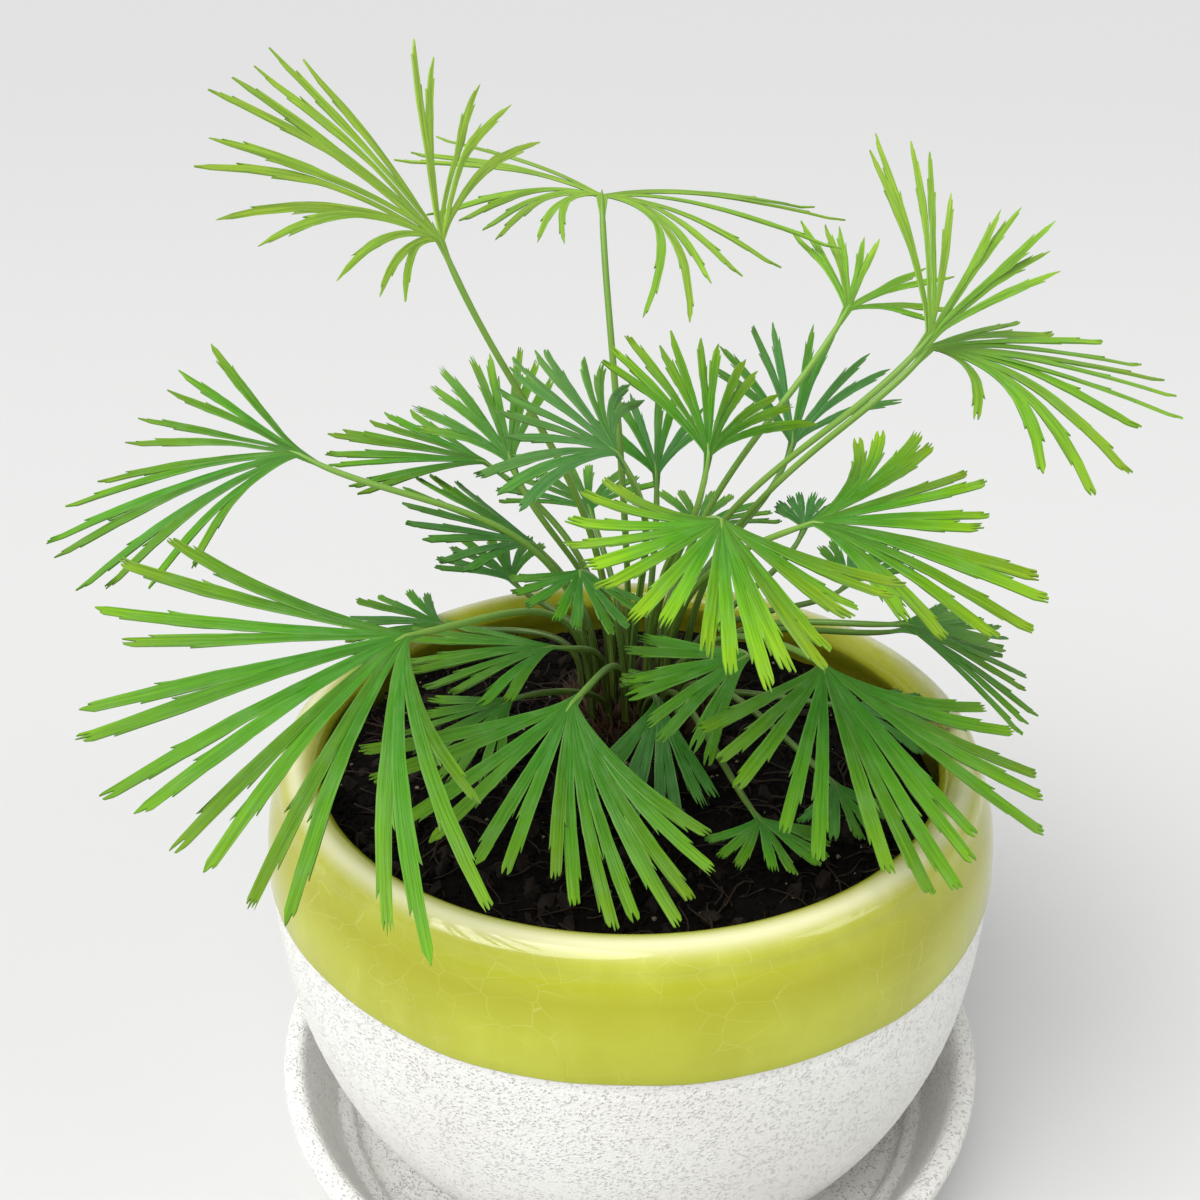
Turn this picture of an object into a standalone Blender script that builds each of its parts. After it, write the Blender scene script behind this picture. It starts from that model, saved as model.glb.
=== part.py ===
"""Potted eyelash fern: a glazed bowl on its saucer, soil, a rhizome crown and the fronds that stand in it.

Metres, +Z up, -Y to the front. The origin is the middle of the saucer's flat underside.
Sizes below are in millimetres and degrees, and MM turns them to metres where objects are made.
"""

import math
from collections import namedtuple

import bmesh
import bpy
import numpy as np

MM = 0.001
COLLECTION = "potted_eyelash_fern"
CUTTERS = "cutters"
GAP = 0.3  # clearance between pieces that touch

# Pot and saucer
POT_RADIUS = 65.5  # widest, at the glaze's lower edge
POT_HEIGHT = 82.0
POT_FOOT_RADIUS = 45.0
POT_WIDEST_HEIGHT = 62.0  # above the pot's own foot
MOUTH_RADIUS = 55.0
RIM = 3.7  # radius of the rolled rim
WALL = 5.0
POT_FLOOR = 7.0
DRAIN_RADIUS = 6.0
SAUCER_RADIUS = 69.0
SAUCER_HEIGHT = 20.0
SAUCER_FOOT_RADIUS = 58.0
SAUCER_FLOOR = 5.0
SAUCER_WALL = 4.5
POT_BASE = SAUCER_FLOOR + GAP
SEGMENTS = 40

# Soil and crown
SOIL_TOP = POT_BASE + 74.0
SOIL_MOUND = 2.5
CROWN_CENTRE = (2.0, 17.0)
CROWN_RADIUS = 14.5
CROWN_DEPTH = 11.0
CROWN_HEIGHT = 4.0
SOCKET_DEPTH = 9.0  # how deep each stipe stands in the crown

# Blades and stipes
BLADE = 0.65
STIPE_RADIUS = 0.85
STIPE_SPACING = 3.5
LONG_LOBE = 27.0  # lobes longer than this have more rows and two teeth
LONG_ROWS = (0.13, 0.55, 0.93)
SHORT_ROWS = (0.3, 0.92)

Frond = namedtuple("Frond", "hub aim roll age fans droop lift", defaults=(0.1, 0.5))
# hub: where the blade meets its stipe. aim: heading and rise of the stipe as it reaches the hub.
# roll: turn of the blade's plane about that. age: 0 a new yellow-green blade, 1 an old blue-green one.
# fans: (from, to, lobes, reach at the start, middle and end). lift: how far it grows up before it leans.
FRONDS = (
    Frond((-29, 0, 173), (143, 61), -6, 0.25,
          ((-122, -93, 3, 15, 19, 25), (-80, -17, 9, 36, 43, 33), (20, 66, 5, 37, 41, 44))),
    Frond((-5, 36, 174), (90, 13), -9, 0.55,
          ((-165, -155, 2, 21, 23, 25), (-140, -109, 4, 29, 27, 32), (-77, -52, 3, 39, 41, 41),
           (60, 84, 3, 49, 48, 45), (109, 144, 3, 35, 33, 32), (160, 171, 2, 42, 41, 40))),
    Frond((39, 31, 155), (61, 22), -23, 0.45,
          ((-50, -6, 6, 23, 27, 25), (16, 57, 4, 26, 26, 17)), 0.1, 0.5),
    Frond((47, 0, 158), (53, 18), -44, 0.5,
          ((-53, -25, 5, 39, 43, 34), (-11, 13, 5, 38, 45, 37)), 0.05),
    Frond((49, 8, 154), (60, 4), -8, 0.4,
          ((12, 89, 8, 29, 41, 36), (106, 146, 5, 34, 42, 25))),
    Frond((-58, 13, 134), (157, 9), 23, 0.6,
          ((-86, -26, 8, 30, 45, 38), (-12, 34, 5, 34, 38, 44)), 0.1, 0.6),
    Frond((-33, -33, 122), (-138, -10), 21, 0.5,
          ((-76, -50, 4, 30, 47, 47), (-36, 27, 8, 48, 45, 47), (40, 71, 4, 43, 48, 47))),
    Frond((-9, -25, 106), (-120, -22), 20, 0.4,
          ((-74, -24, 8, 31, 38, 31), (-12, 46, 6, 30, 33, 33)), 0.03),
    Frond((31, -20, 110), (-92, -16), 16, 0.5,
          ((-98, -60, 5, 30, 39, 40), (-44, -10, 5, 35, 39, 37), (4, 54, 5, 37, 32, 27))),
    Frond((13, -32, 140), (-93, -14), 13, 0.05,
          ((-90, -52, 4, 29, 24, 24), (-36, 5, 6, 27, 30, 27), (18, 68, 5, 26, 25, 24),
           (82, 114, 3, 24, 22, 21))),
    Frond((30, -6, 129), (-16, 0), -16, 0.15,
          ((-86, -60, 4, 30, 36, 35), (-46, -12, 4, 34, 31, 28), (4, 48, 6, 35, 37, 25))),
    Frond((13, 2, 138), (93, 43), -26, 0.45,
          ((-52, -34, 3, 24, 27, 27), (-22, 10, 4, 23, 26, 25), (20, 62, 5, 25, 24, 26))),
    Frond((-21, 15, 132), (111, 42), 18, 0.6, ((-48, 38, 9, 20, 26, 20),)),
    Frond((-28, 34, 125), (180, 10), 10, 0.6, ((-35, 50, 9, 26, 31, 28),)),
    Frond((-18, 22, 113), (-165, 27), 11, 0.75, ((-45, 50, 9, 23, 27, 24),)),
    Frond((-2, -9, 142), (178, 36), 13, 0.85,
          ((-65, -50, 3, 27, 29, 30), (-34, -6, 3, 22, 23, 23), (12, 46, 4, 24, 26, 26),
           (60, 94, 4, 26, 25, 24))),
    Frond((5, 25, 126), (100, 50), 0, 0.8, ((-50, 50, 8, 16, 19, 16),)),
    Frond((31, 34, 129), (86, 57), -18, 0.85, ((-50, 62, 9, 23, 27, 26),)),
    Frond((-8, -10, 122), (-88, -9), 14, 0.7, ((-75, 75, 9, 12, 15, 13),), 0.1, 0.6),
    Frond((-13, -8, 107), (-150, 6), 0, 0.55, ((-42, 60, 9, 19, 26, 24),)),
    Frond((-20, -12, 99), (-150, -20), 0, 0.15, ((-60, 60, 9, 18, 20, 18),), 0.1, 0.2),
    Frond((5, -11, 98), (-85, -40), 0, 0.8, ((-30, 50, 8, 18, 20, 18),), 0.1, 0.2),
    Frond((5, -13, 104), (180, 0), 0, 0.0, ((-35, 35, 5, 6, 7, 6),), 0.1, 0.3),
    Frond((19, -15, 109), (-150, -10), 35, 0.55, ((-40, 45, 8, 19, 21, 19),)),
    Frond((21, -29, 87), (-70, 0), 10, 0.6, ((-75, 75, 9, 11, 14, 12),)),
    Frond((34, -22, 89), (-80, -5), 0, 0.75, ((-50, 50, 7, 10, 13, 11),)),
    Frond((40, -2, 92), (-5, -5), 0, 0.9, ((-50, 60, 8, 14, 18, 15),), 0.1, 0.2),
    Frond((48, 1, 107), (19, -22), -17, 0.6, ((-40, 52, 9, 22, 27, 26),)),
    Frond((52, 20, 96), (10, 0), 0, 0.8, ((-40, 45, 8, 18, 21, 18),)),
    Frond((-38, 30, 92), (165, 5), 0, 0.75, ((-50, 60, 8, 18, 22, 17),)),
    Frond((-24, 38, 98), (120, 15), 0, 0.7, ((-50, 50, 8, 17, 20, 18),)),
    Frond((33, 25, 115), (90, 30), 0, 0.9, ((-45, 45, 7, 8, 10, 9),), 0.1, 0.35),
    Frond((44, 36, 98), (60, 20), 0, 0.8, ((-45, 45, 8, 15, 18, 15),)),
    Frond((-8, 42, 112), (105, 8), 0, 0.7, ((-60, 60, 9, 20, 24, 20),)),
    Frond((14, 46, 106), (80, 5), 0, 0.65, ((-60, 60, 9, 20, 23, 20),)),
)


# The rule that grows a frond from its line in the table

def blade_frame(aim, roll):
    """Unit axis, side and upper normal of a blade, from its aim and roll."""
    heading, rise, turn = np.radians((*aim, roll))
    axis = np.array((math.cos(heading) * math.cos(rise), math.sin(heading) * math.cos(rise), math.sin(rise)))
    level = np.array((math.sin(heading), -math.cos(heading), 0.0))
    side = level * math.cos(turn) + np.cross(level, axis) * math.sin(turn)
    return axis, side, np.cross(side, axis)


def jitter(number, lobe, salt):
    """A fixed draw from -1 to 1 for one lobe of one frond, so that every script grows the same plant."""
    return 2 * (math.sin(number * 12.9898 + lobe * 78.233 + salt * 37.719) * 43758.5453 % 1) - 1


def lobes_of(frond, number):
    """(turn, reach, lift) of every lobe, side to side: the lobes of a fan stand in pairs, as their veins fork."""
    lobes = []
    for start, end, count, first, middle, last in frond.fans:
        for index in range(count):
            t = index / (count - 1)
            pair = min(index // 2 * 2 + 0.5, count - 1.5) if count > 3 else index
            turn = start + (end - start) * (t + 0.25 * (pair - index) / (count - 1))
            reach = first * (1 - t) * (1 - 2 * t) + 4 * middle * t * (1 - t) + last * t * (2 * t - 1)
            reach *= 1 + 0.05 * jitter(number, len(lobes), 1)
            lobes.append((turn, reach, 0.035 * jitter(number, len(lobes), 2)))
    return lobes


def lobe_points(frond, turn, reach, lift, shares):
    """Middle line of a lobe at these shares of its reach: a far one first follows its arm, then bends back."""
    axis, side, normal = blade_frame(frond.aim, frond.roll)
    leaving = math.copysign(min(0.8 * abs(turn), 33 + 0.25 * abs(turn)), turn)
    far, near = math.radians(turn), math.radians(leaving)
    out = axis * math.cos(far) + side * math.sin(far)
    leave = axis * math.cos(near) + side * math.sin(near)
    t = np.asarray(shares, float)[:, None]
    points = np.array(frond.hub) + reach * (2 * t * (1 - t) * 0.4 * leave + (t**2 + 2 * t * (1 - t) * 0.1) * out)
    points += normal * lift * reach * t**2
    points[:, 2] -= frond.droop * reach * t[:, 0] ** 2
    return points


def half_width(reach, share):
    """Half of a lobe's own width: narrow at the hub, widest three fifths of the way out."""
    widest = 0.5 + 0.028 * reach
    t = min(1.0, share / 0.6)
    return widest * (0.22 + 0.78 * t * (2 - t))


def toothed_tip(points, low, high, middle, reach, prongs):
    """Triangles of a lobe's last row and its tip, one or two teeth of unlike length."""
    out = (middle[-1] - middle[-2]) / np.linalg.norm(middle[-1] - middle[-2])
    left, right = high
    a, b = points[left], points[right]
    if prongs == 1:
        points.append(a * 0.6 + b * 0.4 + out * 0.08 * reach)
        return [(*low, right), (low[0], right, left), (left, right, len(points) - 1)]
    points.append((a + b) / 2)
    points.append(a * 0.9 + b * 0.1 + out * 0.07 * reach)
    points.append(a * 0.15 + b * 0.85 + out * 0.05 * reach)
    notch, first, second = range(len(points) - 3, len(points))
    return [(*low, notch), (low[0], notch, left), (low[1], right, notch),
            (left, notch, first), (notch, right, second)]


def blade_surface(frond, number, shares, prongs):
    """Points and triangles of the blade's middle surface: neighbouring lobes share an edge until they part."""
    normal = blade_frame(frond.aim, frond.roll)[2]
    lobes = lobes_of(frond, number)
    middles = [lobe_points(frond, *lobe, shares) for lobe in lobes]
    rows = len(shares)
    points, faces = [np.array(frond.hub, float)], []
    left, right = np.zeros((len(lobes), rows), int), np.zeros((len(lobes), rows), int)

    def add(point):
        points.append(point)
        return len(points) - 1

    def across(lobe, row):
        run = middles[lobe][row] - (middles[lobe][row - 1] if row else points[0])
        across = np.cross(run, normal)
        return across / np.linalg.norm(across)

    for row, share in enumerate(shares):
        for lobe, (turn, reach, lift) in enumerate(lobes):
            here, width = middles[lobe][row], half_width(reach, share)
            left[lobe, row] = left[lobe, row] or add(here - across(lobe, row) * width)
            if lobe + 1 == len(lobes):
                right[lobe, row] = add(here + across(lobe, row) * width)
                continue
            there, wide = middles[lobe + 1][row], half_width(lobes[lobe + 1][1], share)
            held = row and right[lobe, row - 1] == left[lobe + 1, row - 1] and row < rows - 1
            close = np.linalg.norm(there - here) < 1.1 * (width + wide)
            if row == 0 or (held and close):
                right[lobe, row] = left[lobe + 1, row] = add((here + there) / 2)
            else:
                right[lobe, row] = add(here + across(lobe, row) * width)
    for lobe, (turn, reach, lift) in enumerate(lobes):
        faces.append((0, right[lobe, 0], left[lobe, 0]))
        for row in range(rows - 2):
            a, b, c, d = left[lobe, row], right[lobe, row], right[lobe, row + 1], left[lobe, row + 1]
            faces += [(a, b, c), (a, c, d)]
        low, high = (left[lobe, -2], right[lobe, -2]), (left[lobe, -1], right[lobe, -1])
        faces += toothed_tip(points, low, high, middles[lobe], reach, prongs)
    return np.array(points), faces


def bezier(a, b, c, d, t):
    t = np.asarray(t, float)[:, None]
    return a * (1 - t) ** 3 + 3 * b * t * (1 - t) ** 2 + 3 * c * t**2 * (1 - t) + d * t**3


def stipe_roots():
    """Where each stipe stands in the crown: towards its hub, the flattest outermost, then pushed apart."""
    centre = np.array(CROWN_CENTRE)
    reach = np.array([frond.hub for frond in FRONDS]) - np.array((*centre, SOIL_TOP))
    limit = CROWN_RADIUS - 2.2
    roots = reach[:, :2] / np.linalg.norm(reach, axis=1)[:, None] * limit
    for _ in range(400):
        for i in range(len(roots)):
            for j in range(i):
                apart = roots[i] - roots[j]
                distance = np.linalg.norm(apart) or 1e-6
                if distance < STIPE_SPACING:
                    push = apart / distance * (STIPE_SPACING - distance) / 2
                    roots[i] += push
                    roots[j] -= push
        out = np.linalg.norm(roots, axis=1)
        roots *= np.minimum(1.0, limit / out)[:, None]
    return roots + centre


def stipe_line(frond, root, count):
    """Points up a stipe: straight up its socket, then a curve that turns towards the blade's axis at the hub."""
    axis = blade_frame(frond.aim, frond.roll)[0]
    foot = np.array((*root, SOIL_TOP - SOCKET_DEPTH + 2))
    start = np.array((*root, SOIL_TOP + CROWN_HEIGHT + 1.0))
    hub = np.array(frond.hub, float)
    chord = hub - start
    span = np.linalg.norm(chord)
    rise = start + np.array((0, 0, frond.lift * span))
    arrive = hub - (axis * 0.5 + chord / span * 0.5) * 0.35 * span
    curve = bezier(start, rise, arrive, hub, np.linspace(0, 1, count))
    return np.vstack((foot, curve, hub + axis * 1.2))


# Blender objects

def clear_scene():
    for old in list(bpy.data.objects):
        bpy.data.objects.remove(old, do_unlink=True)


def collection(name):
    made = bpy.data.collections.new(name)
    bpy.context.scene.collection.children.link(made)
    return made


def material(name, colour, roughness):
    made = bpy.data.materials.new(name)
    made.use_nodes = True
    shader = made.node_tree.nodes["Principled BSDF"]
    shader.inputs["Base Color"].default_value = (*colour, 1.0)
    shader.inputs["Roughness"].default_value = roughness
    shader.inputs["Metallic"].default_value = 0.0
    return made


def mesh_object(name, points, edges, faces, home, skin=None):
    """An object made from points in millimetres."""
    mesh = bpy.data.meshes.new(name)
    mesh.from_pydata([tuple(float(c) * MM for c in point) for point in points], edges, faces)
    made = bpy.data.objects.new(name, mesh)
    home.objects.link(made)
    if skin:
        mesh.materials.append(skin)
    return made


def turned(name, outline, home, skin, closed=False, steps=SEGMENTS):
    """A body turned round Z from (radius, height) points, top to bottom down its outer side."""
    points = [(radius, 0.0, height) for radius, height in outline]
    edges = [(index, index + 1) for index in range(len(points) - 1)]
    if closed:
        edges.append((len(points) - 1, 0))
    made = mesh_object(name, points, edges, [], home, skin)
    screw = made.modifiers.new("Turn", "SCREW")
    screw.angle = math.tau
    screw.steps = screw.render_steps = steps
    screw.use_merge_vertices = True
    screw.merge_threshold = 0.00001
    return made


def cut(body, cutter):
    boolean = body.modifiers.new("Cut " + cutter.name, "BOOLEAN")
    boolean.operation = "DIFFERENCE"
    boolean.solver = "EXACT"
    boolean.object = cutter


def pot_wall(share):
    """Outer radius of the pot and height, from its foot (0) to its widest (1)."""
    return POT_FOOT_RADIUS + (POT_RADIUS - POT_FOOT_RADIUS) * (1 - (1 - share) ** 2.6), share * POT_WIDEST_HEIGHT


def pot_shoulder(share):
    """Outer radius of the pot and height, from its widest (0) up to the rolled rim (1)."""
    rim_outside = MOUTH_RADIUS + 2 * RIM
    top = POT_HEIGHT - RIM
    return (POT_RADIUS - (POT_RADIUS - rim_outside) * share**2.2,
            POT_WIDEST_HEIGHT + (top - POT_WIDEST_HEIGHT) * share)


def pot_inside(count):
    """(radius, height above the pot's foot) down the inner wall, from the rim to the floor."""
    outside = [pot_shoulder(share) for share in np.linspace(0.7, 0, 2)]
    outside += [pot_wall(share) for share in np.linspace(0.75, 0.12, count - 2)]
    return [(radius - WALL, height) for radius, height in outside if height > POT_FLOOR]


def make_pot(home):
    outline = []
    for index in range(7):
        angle = math.radians(180 - 30 * index)
        outline.append((MOUTH_RADIUS + RIM + RIM * math.cos(angle), POT_HEIGHT - RIM + RIM * math.sin(angle)))
    outline += [pot_shoulder(share) for share in (0.55, 0.0)]
    outline += [pot_wall(share) for share in (0.75, 0.5, 0.3, 0.15, 0.05, 0.0)]
    outline += [(DRAIN_RADIUS, 0.0), (DRAIN_RADIUS, POT_FLOOR), (pot_inside(5)[-1][0] - 6, POT_FLOOR)]
    outline += pot_inside(5)[::-1]
    glazed = material("glazed_earthenware", (0.47, 0.55, 0.06), 0.15)
    pot = turned("pot", outline, home, glazed, closed=True)
    pot.location.z = POT_BASE * MM
    return pot


def make_saucer(home):
    inside = SAUCER_RADIUS - SAUCER_WALL
    outline = [
        (0.0, SAUCER_FLOOR),
        (SAUCER_FOOT_RADIUS - 4, SAUCER_FLOOR),
        (SAUCER_FOOT_RADIUS - 1, SAUCER_FLOOR + 1.2),
        (inside - 1.2, SAUCER_HEIGHT - 4),
        (inside, SAUCER_HEIGHT - 1),
        (inside + 1.2, SAUCER_HEIGHT),
        (SAUCER_RADIUS - 1.2, SAUCER_HEIGHT),
        (SAUCER_RADIUS, SAUCER_HEIGHT - 1.4),
        (SAUCER_RADIUS - 1.5, SAUCER_HEIGHT - 6),
        (SAUCER_FOOT_RADIUS + 2, 1.5),
        (SAUCER_FOOT_RADIUS, 0.0),
        (0.0, 0.0),
    ]
    return turned("saucer", outline, home, material("bisque_stoneware", (0.80, 0.77, 0.71), 0.85))


def make_soil(home, cutters):
    """Fills the bowl to its walls, GAP clear of them, with a socket for the crown."""
    level = SOIL_TOP - POT_BASE
    walls = [(radius - GAP, height) for radius, height in pot_inside(5) if height < level - 1]
    floor = POT_FLOOR + GAP
    outline = [(0.0, level + SOIL_MOUND), (30.0, level + SOIL_MOUND * 0.7), (MOUTH_RADIUS - 6, level)]
    outline += [(MOUTH_RADIUS - GAP, level - 1.0), *walls, (walls[-1][0] - 6 - GAP, floor), (0.0, floor)]
    soil = turned("soil", outline, home, material("potting_mix", (0.012, 0.009, 0.007), 0.95))
    soil.location.z = POT_BASE * MM
    bpy.ops.mesh.primitive_cylinder_add(vertices=24, radius=(CROWN_RADIUS + GAP) * MM, depth=0.06)
    socket = bpy.context.object
    socket.name = "crown_socket"
    socket.location = (CROWN_CENTRE[0] * MM, CROWN_CENTRE[1] * MM, (SOIL_TOP - CROWN_DEPTH) * MM + 0.03)
    keep_as_cutter(socket, cutters)
    cut(soil, socket)
    return soil


def keep_as_cutter(obj, cutters):
    for home in list(obj.users_collection):
        home.objects.unlink(obj)
    cutters.objects.link(obj)
    obj.hide_render = True
    obj.display_type = "WIRE"


def make_crown(home, cutters, roots):
    """The rhizome: a low scaly lump in the soil, with a plain hole for each stipe."""
    top = SOIL_TOP + CROWN_HEIGHT
    outline = [(0.0, top), (CROWN_RADIUS * 0.5, top - 0.6), (CROWN_RADIUS * 0.85, top - 2.0)]
    outline += [(CROWN_RADIUS, top - 4.2), (CROWN_RADIUS, SOIL_TOP - CROWN_DEPTH + GAP)]
    outline.append((0.0, SOIL_TOP - CROWN_DEPTH + GAP))
    crown = turned("crown", outline, home, material("rhizome_scales", (0.09, 0.045, 0.018), 0.9), steps=24)
    crown.location = (CROWN_CENTRE[0] * MM, CROWN_CENTRE[1] * MM, 0.0)
    mesh = bmesh.new()
    hole = STIPE_RADIUS / math.cos(math.pi / 6) + GAP + 0.1
    for x, y in roots:
        made = bmesh.ops.create_cone(mesh, cap_ends=True, segments=6, radius1=hole * MM, radius2=hole * MM,
                                     depth=0.03)
        low = SOIL_TOP - SOCKET_DEPTH + 2 - GAP
        bmesh.ops.translate(mesh, verts=made["verts"], vec=(x * MM, y * MM, low * MM + 0.015))
    data = bpy.data.meshes.new("stipe_sockets")
    mesh.to_mesh(data)
    mesh.free()
    sockets = bpy.data.objects.new("stipe_sockets", data)
    cutters.objects.link(sockets)
    keep_as_cutter(sockets, cutters)
    cut(crown, sockets)
    return crown


def tube(name, line, radius, home):
    """A closed six-sided tube along points in millimetres."""
    curve = bpy.data.curves.new(name, "CURVE")
    curve.dimensions = "3D"
    curve.bevel_depth = radius * MM
    curve.bevel_resolution = 1
    curve.use_fill_caps = True
    spline = curve.splines.new("POLY")
    spline.points.add(len(line) - 1)
    for point, place in zip(spline.points, line):
        point.co = (*(float(c) * MM for c in place), 1.0)
    guide = bpy.data.objects.new(name + "_guide", curve)
    home.objects.link(guide)
    bpy.context.view_layer.update()
    mesh = bpy.data.meshes.new_from_object(guide.evaluated_get(bpy.context.evaluated_depsgraph_get()))
    bpy.data.objects.remove(guide, do_unlink=True)
    work = bmesh.new()
    work.from_mesh(mesh)
    bmesh.ops.remove_doubles(work, verts=work.verts, dist=0.00001)
    bmesh.ops.recalc_face_normals(work, faces=work.faces)
    work.to_mesh(mesh)
    work.free()
    made = bpy.data.objects.new(name, mesh)
    home.objects.link(made)
    return made


def make_frond(number, frond, root, home, cutters):
    """One frond: its blade as a thin sheet, with the stipe joined to it."""
    name = f"frond_{number:02d}"
    longest = max(reach for _, reach, _ in lobes_of(frond, number))
    rows, prongs = (LONG_ROWS, 2) if longest > LONG_LOBE else (SHORT_ROWS, 1)
    points, faces = blade_surface(frond, number, rows, prongs)
    young, old = np.array((0.24, 0.42, 0.03)), np.array((0.06, 0.16, 0.07))
    green = tuple(young + (old - young) * frond.age)
    blade = mesh_object(name, points, [], [tuple(int(i) for i in face) for face in faces], home,
                        material(name + "_leaf", green, 0.5))
    sheet = blade.modifiers.new("Thickness", "SOLIDIFY")
    sheet.thickness = BLADE * MM
    sheet.offset = 0.0
    high = frond.hub[2] > SOIL_TOP + 35
    stipe = tube(name + "_stipe", stipe_line(frond, root, 6 if high else 5), STIPE_RADIUS, cutters)
    keep_as_cutter(stipe, cutters)
    join = blade.modifiers.new("Join stipe", "BOOLEAN")
    join.operation = "UNION"
    join.solver = "EXACT"
    join.object = stipe
    return blade


def main():
    clear_scene()
    home, cutters = collection(COLLECTION), collection(CUTTERS)
    cutters.hide_render = True
    roots = stipe_roots()
    make_saucer(home)
    make_pot(home)
    make_soil(home, cutters)
    make_crown(home, cutters, roots)
    for number, (frond, root) in enumerate(zip(FRONDS, roots), 1):
        make_frond(number, frond, root, home, cutters)


main()
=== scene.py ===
"""Potted eyelash fern, dressed: a glazed bowl on its saucer, potting mix, a scaly rhizome and its fronds.

Metres, +Z up, -Y to the front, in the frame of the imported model. The sizes in the table and in the rules
are millimetres and degrees, and MM turns them to metres where a mesh is made.
"""

import math
from collections import namedtuple
from functools import partial

import bpy
import numpy as np
from mathutils import Euler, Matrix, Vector, noise


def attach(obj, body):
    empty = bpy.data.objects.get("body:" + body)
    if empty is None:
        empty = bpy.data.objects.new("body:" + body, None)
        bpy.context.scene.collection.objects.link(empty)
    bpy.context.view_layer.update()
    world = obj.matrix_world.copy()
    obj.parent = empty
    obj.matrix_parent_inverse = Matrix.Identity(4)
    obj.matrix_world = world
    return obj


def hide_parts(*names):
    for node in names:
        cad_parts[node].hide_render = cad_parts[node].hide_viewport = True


bl_info = {
    "name": "Potted eyelash fern",
    "version": (1, 0, 0),
    "blender": (4, 5, 0),
    "location": "3D View > Sidebar > Fern",
    "description": "Builds a fern in a glazed bowl, frond by frond",
    "category": "Add Mesh",
}

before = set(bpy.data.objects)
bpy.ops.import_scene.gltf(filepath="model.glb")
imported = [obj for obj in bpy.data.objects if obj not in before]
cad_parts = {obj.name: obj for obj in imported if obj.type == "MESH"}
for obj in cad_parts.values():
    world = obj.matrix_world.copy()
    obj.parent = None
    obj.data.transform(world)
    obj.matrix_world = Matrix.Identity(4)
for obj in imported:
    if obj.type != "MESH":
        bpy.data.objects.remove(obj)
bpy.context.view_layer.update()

MM = 0.001
BODY = "root"
COLLECTION = "potted_eyelash_fern"

# Pot and saucer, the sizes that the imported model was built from, and the glaze's thickness
POT_RADIUS = 65.5
POT_HEIGHT = 82.0
POT_FOOT_RADIUS = 45.0
POT_WIDEST_HEIGHT = 62.0
MOUTH_RADIUS = 55.0
RIM = 3.7
WALL = 5.0
POT_FLOOR = 7.0
DRAIN_RADIUS = 6.0
SAUCER_RADIUS = 69.0
SAUCER_HEIGHT = 20.0
SAUCER_FOOT_RADIUS = 58.0
SAUCER_FLOOR = 5.0
SAUCER_WALL = 4.5
GAP = 0.3
GLAZE_THICKNESS = 0.22
POT_BASE = SAUCER_FLOOR + GAP

# Soil and crown
SOIL_TOP = POT_BASE + 74.0
SOIL_MOUND = 2.5
CROWN_CENTRE = (2.0, 17.0)
CROWN_RADIUS = 14.5
CROWN_DEPTH = 11.0
CROWN_HEIGHT = 4.0
SOCKET_DEPTH = 9.0
STIPE_SPACING = 3.5
STIPE_INSET = 2.2

Frond = namedtuple("Frond", "hub aim roll age fans droop lift", defaults=(0.1, 0.5))
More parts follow.
